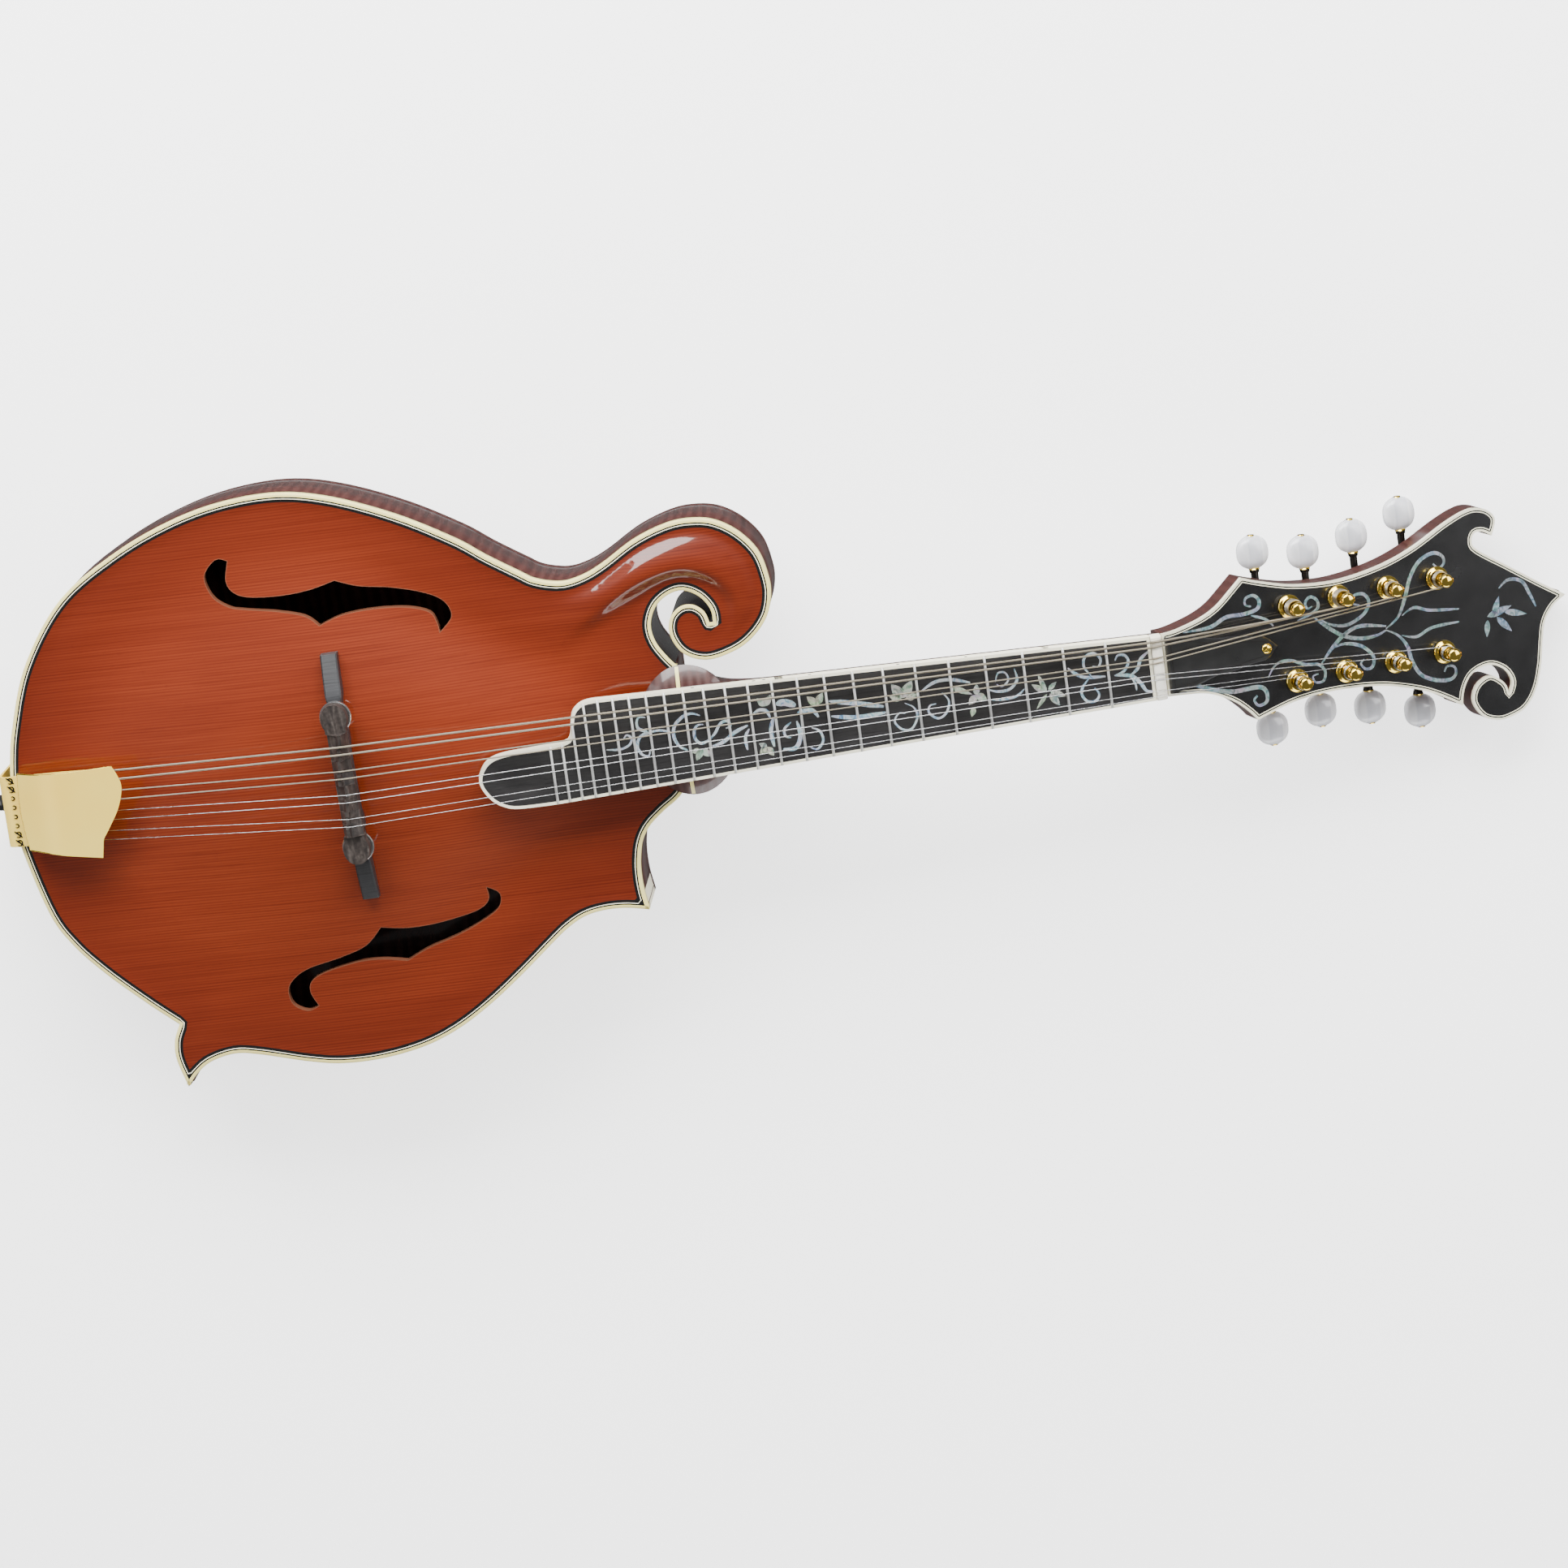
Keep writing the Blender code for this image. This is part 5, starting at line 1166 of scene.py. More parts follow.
def make_inner_wood():
    for node in ("top_lining_bass", "top_lining_treble", "back_lining_bass", "back_lining_treble", "neck_block",
                 "tail_block", "lower_point_block", "upper_point_block", "tone_bar_bass", "tone_bar_treble"):
        paint(node, "spruce")


def paint(node, look):
    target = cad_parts[node]
    target.data.materials.clear()
    target.data.materials.append(LOOK[look])


# ---------------------------------------------------------------- neck

def heel_depth(u):
    """Depth of the neck below the fingerboard: a shallow shaft that drops into the heel and its level foot."""
    shaft = 15.5 - 2.0 * max(0.0, u) / NUT_U
    t = min(1.0, max(0.0, (HEEL_START - u) / (HEEL_START - HEEL_FOOT)))
    return shaft + HEEL_DROP * t ** 2.6


def neck_ring(u, top, half, depth, points=22):
    """One section of the neck, leaning near the joint, with nothing below the back's edge."""
    lean = math.tan(NECK_ANGLE) * max(0.0, 1.0 - max(0.0, u) / HEEL_START)
    floor = 0.05 - RIM_HEIGHT - BOARD_HEIGHT + u * math.sin(NECK_ANGLE)
    floor /= math.cos(NECK_ANGLE) + lean * math.sin(NECK_ANGLE)
    ring = [(u, half, top)]
    for k in range(points + 1):
        angle = math.pi * k / points
        y = half * math.copysign(abs(math.cos(angle)) ** 0.85, math.cos(angle))
        w = max(top - 1.0 - (depth - 1.0) * math.sin(angle) ** 0.8, floor)
        ring.append((u - w * lean, y, w))
    ring.append((u, -half, top))
    return ring


def make_neck():
    top = -BOARD_THICKNESS - 0.05
    stations = [-1.2, 3.0, 8.0, HEEL_FOOT, 15.5, 17.0, 19.0, 21.5, 24.0, 27.0, 30.0, 34.0, 38.0, HEEL_START, 60.0,
                80.0, 110.0, 140.0, 170.0, 190.0, 200.0, NUT_U + NUT_WIDTH]
    rings = []
    for u in stations:
        rings.append(neck_ring(u, top, board_half(u) - 0.15, heel_depth(u)))
    for u, drop, half, depth in ((213.0, 1.8, 13.6, 13.0), (218.0, 4.0, 12.6, 12.0), (224.0, 5.6, 11.0, 10.5),
                                 (230.0, 7.4, 8.5, 8.0)):
        rings.append(neck_ring(u, top - drop, half, depth))
    shaft = loft_mesh("neck_shaft", rings)

    core_line = outline(HEAD_RUNS, 1.5)
    core = band_mesh("head_core", inset(core_line, 0.03), inset(core_line, 3.0), -HEAD_THICKNESS, -OVERLAY - 0.02,
                     0.5)
    add_piece("head_core", core, "neck", HEAD, smooth=40.0)
    flat = plate_mesh("head_back", inset(core_line, 0.5), [], [],
                      plate_field(core_line, 3.5), lambda x, y: -OVERLAY - 0.1,
                      lambda x, y: -HEAD_THICKNESS, core_line)
    add_piece("head_back", flat, "neck", HEAD, smooth=40.0)
    add_piece("neck_shaft", shaft, "neck", NECK, replaces=["neck"], smooth=50.0)
    make_shoulders()
    make_heel_cap()
    paint("truss_rod", "rod_steel")
    paint("truss_rod_nut", "rod_nut_gold")


def plate_field(line, spacing):
    xs = [p[0] for p in line]
    ys = [p[1] for p in line]
    points = grid_points((min(xs), min(ys)), (max(xs), max(ys)), spacing)
    points = [p for p, good in zip(points, inside(points, line)) if good]
    return well_inside(points, [line], 1.0)


def make_shoulders():
    """Rounded maple wings where the neck's heel meets the soundboard beside the fingerboard."""
    rings = []
    steps = 20
    for i in range(steps + 1):
        t = -1.0 + 2.0 * i / steps
        x = 301.0 + 22.0 * t
        half = 29.0 * math.sqrt(max(0.02, 1.0 - t * t))
        ring = []
        for k in range(17):
            s = -1.0 + k / 8.0
            y = half * s
            crown = 0.6 + 5.8 * max(0.0, 1.0 - abs(t) ** 2.6) * max(0.0, 1.0 - abs(s) ** 3.0)
            ring.append((x, y, crown))
        low = -0.6 if x < 299.0 else -4.8
        ring += [(x, half * 0.96, low), (x, -half * 0.96, low)]
        rings.append(ring)
    add_piece("heel_shoulders", loft_mesh("heel_shoulders", rings), "neck", LYING,
              smooth=50.0)
    strip = []
    for k in range(33):
        s = -1.0 + k / 16.0
        y = 28.4 * s
        crown = 0.75 + 5.8 * max(0.0, 1.0 - abs(s / 1.02) ** 3.0)
        strip.append([(298.4, y, crown - 1.0), (300.0, y, crown - 1.0), (300.0, y, crown + 0.1), (298.4, y, crown + 0.1)])
    add_piece("joint_binding", loft_mesh("joint_binding", strip), "cream", LYING, smooth=40.0)


def make_heel_cap():
    line = [(300.2, -7.6), (307.0, -7.4), (312.0, -5.6), (315.2, -2.4), (315.6, 0.0), (315.2, 2.4), (312.0, 5.6),
            (307.0, 7.4), (300.2, 7.6)]
    line = spline_run(line, 0.8) + [line[-1]]
    outer = [(x, y) for x, y in line]
    cap = plate_mesh("heel_cap_plate", outer, [], [], [], lambda x, y: -RIM_HEIGHT - 0.25,
                     lambda x, y: -RIM_HEIGHT - 1.75, outer)
    add_piece("heel_cap_plate", cap, "cap", LYING, replaces=["heel_cap"], smooth=40.0)


# ---------------------------------------------------------------- fingerboard

def fret_place(number):
    return NUT_U - SCALE_LENGTH * (1.0 - 2.0 ** (-number / 12.0))


def span_at(line, u):
    """Lowest and highest y of a closed line at a station u."""
    values = []
    for (ax, ay), (bx, by) in zip(line, line[1:] + line[:1]):
        if (ax - u) * (bx - u) <= 0.0 and ax != bx:
            values.append(ay + (by - ay) * (u - ax) / (bx - ax))
    return min(values), max(values)


def make_fingerboard():
    line = outline(BOARD_RUNS, 1.5)
    guide = offset_guide(line, BOARD_BINDING + 0.04)
    field = well_inside(plate_field(line, 4.0), [guide], 0.8)

    def surface(x, y):
        """The playing surface, scooped lower beyond the last fret."""
        scoop = smooth_step((-63.0 - x) / 5.0)
        from_edge = smooth_step((edge_gap[(x, y)] - 3.0) / 6.0)
        return -0.05 - 1.3 * scoop * from_edge

    flat, _ = filled(line, [], [guide], field)
    edge_gap = dict(zip(flat, distances(flat, line)))
    board = plate_mesh("bound_fingerboard", line, [], [guide], field, surface,
                       lambda x, y: -BOARD_THICKNESS, line)
    add_piece("bound_fingerboard", board, "board", NECK, replaces=["fingerboard"], smooth=30.0)

    inner = inset(line, BOARD_BINDING * 0.25)
    for number in range(1, 25):
        u = fret_place(number)
        low, high = span_at(inner, u)
        rings = []
        for y, scale in ((low, 0.55), (low + 0.6, 1.0), (high - 0.6, 1.0), (high, 0.55)):
            ring = [(u - 0.62, y, -0.5), (u + 0.62, y, -0.5)]
            for k in range(9):
                angle = math.pi * k / 8
                ring.append((u + 0.62 * math.cos(angle), y, 0.05 + 0.95 * scale * math.sin(angle)))
            rings.append(ring)
        name = "fret_%02d" % number
        add_piece(name, loft_mesh(name, rings), "fret", NECK, smooth=60.0)

    vine = ribbon_mesh("board_vine", BOARD_VINE, [], -0.4, 0.02, 0.72)
    add_piece("board_vine", vine, "shell", NECK, smooth=30.0)
    leaves = ribbon_mesh("board_leaves", [], BOARD_LEAVES, -0.4, 0.03)
    add_piece("board_leaves", leaves, "abalone", NECK, smooth=30.0)
    dots = []
    for number, share in ((5, 0.0), (7, 0.0), (10, 0.0), (12, -2.2), (12, 2.2), (15, 0.0)):
        u = 0.5 * (fret_place(number) + fret_place(number - 1)) + share
        dot = turned_mesh("dot", [(0.0, -0.4), (0.95, -0.4), (0.95, 0.05), (0.0, 0.05)], 16)
        place = moved(u, board_half(u) - 0.05, -2.6) @ Matrix.Rotation(-math.pi / 2, 4, "X")
        dots.append((dot, place))
    add_piece("side_dots", joined("side_dots", dots), "black", NECK, smooth=40.0)
    make_nut()
    make_riser()


def make_nut():
    rings = []
    grooves = [places[2] for places in string_places()]
    ys = sorted(set([-14.1, -13.6, 13.6, 14.1] + [g + d for g in grooves for d in (-0.9, -0.5, -0.2, 0.2, 0.5, 0.9)]))
    for y in ys:
        crown = 2.1 - 0.4 * (y / 14.2) ** 2
        if abs(y) > 13.9:
            crown -= 0.5
        near = min(abs(y - g) for g in grooves)
        if near < 0.4:
            crown -= 0.35
        rings.append([(NUT_U + 0.05, y, -BOARD_THICKNESS), (NUT_U + NUT_WIDTH - 0.05, y, -BOARD_THICKNESS),
                      (NUT_U + NUT_WIDTH - 0.05, y, crown - 1.5), (NUT_U + NUT_WIDTH - 1.1, y, crown - 0.55),
                      (NUT_U + 1.6, y, crown), (NUT_U + 0.5, y, crown), (NUT_U + 0.05, y, crown - 0.5)])
    add_piece("slotted_nut", loft_mesh("slotted_nut", rings), "bone", NECK, replaces=["nut"],
              smooth=30.0)


def make_riser():
    rings = []
    board_drop = (BOARD_THICKNESS + 0.02) / math.cos(NECK_ANGLE)
    for x in (232.0, 238.0, 245.0, 251.5, 256.5, 262.0, 270.0, 280.0, 290.0, 298.6):
        under = BOARD_HEIGHT + (JOINT_X - x) * math.tan(NECK_ANGLE) - board_drop
        bass = RISER_HALF if x > RISER_STEP_X else RISER_BASS_TONGUE
        ring = []
        for k in range(9):
            y = -RISER_HALF + (bass + RISER_HALF) * k / 8
            ring.append((x, y, TOP_ARCH * arch(x, y) - 0.2))
        ring += [(x, bass, under), (x, -RISER_HALF, under)]
        rings.append(ring)
    add_piece("board_riser", loft_mesh("board_riser", rings), "neck", LYING,
              replaces=["fingerboard_riser"], smooth=30.0)


# ---------------------------------------------------------------- headstock

def post_places():
    """Post centres in the headstock frame: the bass row first, from the nut outwards."""
    return [(u, POST_ROW_Y + side * POST_ROW_HALF) for side in (1, -1) for u in POST_U]


def make_headstock():
    line = outline(HEAD_RUNS, 1.5)
    guide = offset_guide(line, 2.0)
    field = well_inside(plate_field(line, 4.0), [guide], 0.8)
    overlay = plate_mesh("bound_overlay", line, [], [guide], field, lambda x, y: 0.0, lambda x, y: -OVERLAY, line)
    add_piece("bound_overlay", overlay, "head", HEAD, replaces=["headstock_overlay"], smooth=30.0)
    vine = ribbon_mesh("head_vine", HEAD_VINE, HEAD_LEAVES, -0.4, 0.05, 0.9)
    add_piece("head_vine", vine, "vine", HEAD, smooth=30.0)

    cover_line = outline(COVER_RUNS, 1.0)
    face = inset(cover_line, 0.7)
    rings = [[(x, y, z) for x, y in ring] for ring, z in ((cover_line, 0.1), (cover_line, 1.2), (face, 1.85))]
    cover = loft_mesh("rod_cover", rings)
    add_piece("rod_cover", cover, "black", HEAD, replaces=["truss_rod_cover"], smooth=20.0)
    rim = inset(cover_line, 1.9)
    engraved = band_mesh("cover_line", rim, inset(cover_line, 2.2), 1.7, 1.90, 0.02)
    add_piece("cover_line", engraved, "dark_metal", HEAD, smooth=30.0)
    profile = [(0.0, 3.0), (1.2, 2.9), (1.9, 2.55), (2.3, 2.1), (2.3, 1.86), (1.2, 1.8), (1.2, -5.0), (0.0, -6.0)]
    screw = turned_mesh("cover_screw", profile[::-1], 28)
    slots = [(screw, moved(48.0, -0.8, 0.0))]
    for turn in (0.35, 0.35 + math.pi / 2):
        slot_bar = box_mesh("slot", (-1.7, -0.22, 2.4), (1.7, 0.22, 2.99), 0.05)
        slots.append((slot_bar, moved(48.0, -0.8, 0.03) @ Matrix.Rotation(turn, 4, "Z")))
    add_piece("cover_screw", joined("cover_screw", slots), "gold", HEAD,
              replaces=["truss_cover_screw"], smooth=30.0)

    bushings = []
    profile = [(3.25, 0.1), (5.25, 0.1), (5.25, 0.9), (4.95, 1.35), (4.3, 1.55), (3.9, 1.95), (3.25, 2.0),
               (3.25, 0.1)]
    for u, y in post_places():
        bushings.append((open_turned("bushing", profile, 40), moved(u, y, 0.0)))
    add_piece("post_bushings", joined("post_bushings", bushings), "gold", HEAD, smooth=40.0)


def open_turned(name, profile, sides):
    """A turned ring from a closed profile of (radius, height)."""
    rings = []
    for k in range(sides + 1):
        angle = 2.0 * math.pi * k / sides
        rings.append([(r * math.cos(angle), r * math.sin(angle), z) for r, z in profile[:-1]])
    mesh = loft_mesh(name, rings, capped=False)
    shape = bmesh.new()
    shape.from_mesh(mesh)
    bmesh.ops.remove_doubles(shape, verts=shape.verts, dist=0.0000005)
    bmesh.ops.recalc_face_normals(shape, faces=shape.faces)
    shape.to_mesh(mesh)
    shape.free()
    return mesh


# ---------------------------------------------------------------- tuners

def make_tuners():
    for side, name in ((1, "bass"), (-1, "treble")):
        row = POST_ROW_Y + side * POST_ROW_HALF
        low = TUNER_PLATE_TOP - TUNER_PLATE_THICKNESS
        plate_parts = [(box_mesh("plate", (POST_U[0] - 12.5, row - 6.6, low), (POST_U[3] + 6.5, row + 6.6,
                                                                              TUNER_PLATE_TOP), 0.35),
                        Matrix.Identity(4))]
        screws = []
        for number, u in enumerate(POST_U):
            label = "%s_%d" % (name, number + 1)
            for end in (-1, 1):
                lug = box_mesh("lug", (u - WORM_CENTRES - 2.4, row + end * 4.3 - 0.8, WORM_W - 2.2),
                               (u - WORM_CENTRES + 2.4, row + end * 4.3 + 0.8, low + 0.2), 0.25)
                plate_parts.append((lug, Matrix.Identity(4)))
            axle = moved(u - WORM_CENTRES, row, WORM_W) @ Matrix.Rotation(-side * math.pi / 2, 4, "X")
            make_post(label, u, row, side)
            make_button(label, axle, BUTTON_REACH[number])
        for u in (POST_U[0] - 10.6, POST_U[1] + 9.5, POST_U[3] + 4.6):
            head = turned_mesh("head", [(0.0, low + 0.1), (1.5, low + 0.1), (1.7, low - 0.2), (1.3, low - 0.7),
                                        (0.0, low - 0.9)], 20)
            screws.append((head, moved(u, row - side * 4.6, 0.0)))
        add_piece("tuner_strip_" + name, joined("tuner_strip_" + name, plate_parts), "tuner_gold", HEAD,
                  replaces=["tuner_plate_" + name], smooth=30.0)
        add_piece("tuner_screws_" + name, joined("tuner_screws_" + name, screws), "gold", HEAD,
                  smooth=40.0)


def gear_mesh():
    rings = []
    for z in (WORM_W - 1.3, WORM_W + 1.3):
        ring = []
        for tooth in range(TEETH):
            for offset, radius in ((0.0, GEAR_RADIUS + 0.5), (0.12, GEAR_RADIUS + 0.45), (0.36, GEAR_RADIUS - 0.6),
                                   (0.5, GEAR_RADIUS - 0.72), (0.64, GEAR_RADIUS - 0.6),
                                   (0.88, GEAR_RADIUS + 0.45)):
                angle = math.pi + 2.0 * math.pi * (tooth + offset) / TEETH
                ring.append((radius * math.cos(angle), radius * math.sin(angle), z))
        rings.append(ring)
    return loft_mesh("gear", rings)


def make_post(label, u, row, side):
    profile = [(0.0, -20.9), (2.4, -20.9), (2.6, -20.5), (2.6, -13.4), (3.0, -13.0), (3.0, 4.6), (2.75, 5.2),
               (2.62, 7.0), (2.75, 8.8), (3.0, 9.4), (3.0, 11.4), (2.7, 12.0), (1.9, 12.4), (0.0, 12.45)]
    post = turned_mesh("post", profile, 36)
    rim = turned_mesh("rim", [(0.0, WORM_W - 1.9), (1.6, WORM_W - 1.9), (2.0, WORM_W - 1.3), (0.0, WORM_W - 1.3)], 24)
    eye = open_turned("eye", [(1.0, -0.15), (1.3, 0.0), (1.0, 0.15), (0.85, 0.0), (1.0, -0.15)], 20)
    turn = Matrix.Rotation(math.pi / 2, 4, "Y")
    parts = [(post, Matrix.Identity(4)), (gear_mesh(), Matrix.Identity(4)), (rim, Matrix.Identity(4)),
             (eye, moved(3.0, 0.0, 10.4) @ turn), (eye, moved(-3.0, 0.0, 10.4) @ turn)]
    name = "geared_post_" + label
    place = HEAD @ moved(u, row, 0.0)
    add_piece(name, joined(name, parts), "gold", place, "post_" + label, ["string_post_" + label], 40.0)

    index = post_places().index((u, row))
    string = [0, 1, 2, 3, 7, 6, 5, 4][index]
    radius = STRING_RADIUS[string]
    points = []
    turns = 4 if radius > 0.25 else 6
    for k in range(turns * 20 + 1):
        angle = -side * (math.pi / 2 + 2.0 * math.pi * k / 20)
        height = WRAP_W[u] - 2.05 * radius * k / 20
        reach = POST_RADIUS + radius * 1.02
        points.append((reach * math.cos(angle), reach * math.sin(angle), height))
    name = "string_turns_" + label
    look = "wound" if string < 4 else "plain"
    add_piece(name, tube_mesh(name, points, radius, 7), look, place, "post_" + label,
              smooth=60.0)


def worm_mesh():
    rings = []
    samples = 12
    sides = 20
    half = round(0.5 * 2.4 * samples)
    for k in range(-half, half + 1):
        height = k * WORM_PITCH / samples
        ring = []
        for j in range(sides):
            phase = (height / WORM_PITCH - j / sides) % 1.0
            crest = 1.0 - min(1.0, max(0.0, (abs(phase - 0.5) - 0.06) / 0.13))
            radius = WORM_RADIUS - 0.75 + 1.2 * crest
            angle = 2.0 * math.pi * j / sides
            ring.append((radius * math.cos(angle), radius * math.sin(angle), height))
        rings.append(ring)
    return loft_mesh("worm", rings)


def make_button(label, axle, reach):
    low = reach - 7.7
    shaft = turned_mesh("shaft", [(0.0, -6.1), (1.0, -6.1), (1.1, -5.8), (1.1, 6.0), (1.7, 6.6), (1.7, low - 1.4),
                                  (2.1, low - 1.2), (2.3, low + 0.2), (0.0, low + 0.2)], 24)
    name = "worm_shaft_" + label
    body = "button_" + label
    add_piece(name, joined(name, [(shaft, Matrix.Identity(4)), (worm_mesh(), Matrix.Identity(4))]), "dark_metal",
              HEAD @ axle, body, ["tuner_button_" + label], 40.0)

    rings = []
    count = 40
    for i in range(17):
        t = -1.0 + i / 8.0
        swell = max(0.0, 1.0 - abs(t) ** 2.5) ** 0.5
        height = low + 7.8 + 7.55 * t
        ring = []
        for j in range(count):
            angle = 2.0 * math.pi * j / count
            x = math.copysign(abs(math.cos(angle)) ** 0.9, math.cos(angle)) * 7.35 * max(0.22, swell)
            y = math.copysign(abs(math.sin(angle)) ** 0.75, math.sin(angle)) * 3.65 * max(0.30, swell)
            ring.append((x, y, height))
        rings.append(ring)
    name = "pearl_button_" + label
    add_piece(name, loft_mesh(name, rings), "pearl", HEAD @ axle, body, smooth=60.0)
    tip = [(turned_mesh("tip", [(0.0, low + 15.1), (1.7, low + 15.1), (1.5, low + 15.55), (0.0, low + 15.6)], 20),
            Matrix.Identity(4)),
           (turned_mesh("collar", [(0.0, low + 0.2), (2.5, low + 0.2), (2.2, low + 0.7), (0.0, low + 0.9)], 20),
            Matrix.Identity(4))]
    name = "button_screw_" + label
    add_piece(name, joined(name, tip), "gold", HEAD @ axle, body, smooth=40.0)


# ---------------------------------------------------------------- bridge

def make_bridge():
    turn = LYING @ moved(BRIDGE_X, 0.0, 0.0) @ Matrix.Rotation(BRIDGE_TURN, 4, "Z")
    rings = []
    stations = [-54.9 + 109.8 * k / 72 for k in range(73)]
    for y in stations:
        taper = smooth_step((abs(y) - 33.0) / 5.0)
        half = 2.9 + 0.75 * taper if abs(y) > 22.0 else 3.65
        ground = max(TOP_ARCH * arch(BRIDGE_X + d, y) for d in (-4.0, 0.0, 4.0)) + 0.35
        foot = ground + 3.2 * smooth_step((17.0 - abs(y)) / 4.0)
        crown = BASE_TOP - 6.5 * max(0.0, (abs(y) - 36.0) / 19.0) ** 1.1
        rings.append([(-half, y, foot), (half, y, foot), (half, y, crown - 0.6), (half - 0.6, y, crown),
                      (0.6 - half, y, crown), (-half, y, crown - 0.6)])
    base = loft_mesh("bridge_foot", rings)
    add_piece("bridge_foot", base, "ebony", turn, replaces=["bridge_base"], smooth=25.0)

    rings = []
    stations = [-35.5 + 71.0 * k / 142 for k in range(143)]
    for y in stations:
        end = abs(y) > 22.5
        if end:
            half = 5.9 * math.sqrt(max(0.02, 1.0 - ((abs(y) - 29.0) / 6.7) ** 2)) if abs(y) > 25.0 else 4.75
            half = max(half, 0.8)
            top = SADDLE_TOP - 3.6
            shift = 0.0
            crest = max(0.3, half - 0.7)
        else:
            half = 4.2
            lane = int((22.5 - y) // 5.625)
            shift = [1.4, 0.5, -0.4, -1.4, 0.9, 0.0, -0.9, -1.6][min(7, max(0, lane))]
            top = SADDLE_TOP - 0.05
            crest = 0.8
            near = min(abs(y - places[1]) for places in string_places())
            if near < 0.45:
                top -= 0.35
        rings.append([(-half, y, SADDLE_BOTTOM), (half, y, SADDLE_BOTTOM), (half, y, SADDLE_TOP - 5.0),
                      (shift + crest + 0.5, y, top - 1.2 if not end else top), (shift + crest, y, top),
                      (shift - crest, y, top), (shift - crest - 0.5, y, top - 1.2 if not end else top),
                      (-half, y, SADDLE_TOP - 5.0)])
    saddle = loft_mesh("notched_saddle", rings)
    add_piece("notched_saddle", saddle, "saddle", turn, "saddle", ["bridge_saddle"], 25.0)

    for name, y in (("bass", BRIDGE_POST_Y), ("treble", -BRIDGE_POST_Y)):
        spot = turn @ moved(0.0, y, 0.0)
        rings = []
        for k in range(96):
            angle = 2.0 * math.pi * k / 96
            bite = 0.16 if k % 2 else 0.0
            rings.append([(1.7 * math.cos(angle), 1.7 * math.sin(angle), 0.0)]
                         + [(r * math.cos(angle), r * math.sin(angle), z)
                            for r, z in ((6.6, 0.0), (7.05 - bite, 0.45), (7.05 - bite, WHEEL_THICKNESS - 0.45),
                                         (6.6, WHEEL_THICKNESS))]
                         + [(1.7 * math.cos(angle), 1.7 * math.sin(angle), WHEEL_THICKNESS)])
        rings.append(rings[0])
        mesh = loft_mesh("wheel", rings, capped=False)
        wheel = joined("knurled_wheel_" + name, [(mesh, Matrix.Identity(4))])
        add_piece("knurled_wheel_" + name, wheel, "steel", spot @ moved(0.0, 0.0, WHEEL_BOTTOM), "wheel_" + name,
                  ["thumbwheel_" + name], 25.0)
        paint("bridge_post_" + name, "rod_steel")


# ---------------------------------------------------------------- tailpiece

def tail_cover_z(x):
    """Underside of the tailpiece cover: it climbs from the tail and levels out over the strings."""
    t = min(1.0, max(0.0, (x - 5.0) / 22.0))
    return 5.6 + 11.6 * math.sin(0.5 * math.pi * t) + 0.05 * max(0.0, x - 27.0)


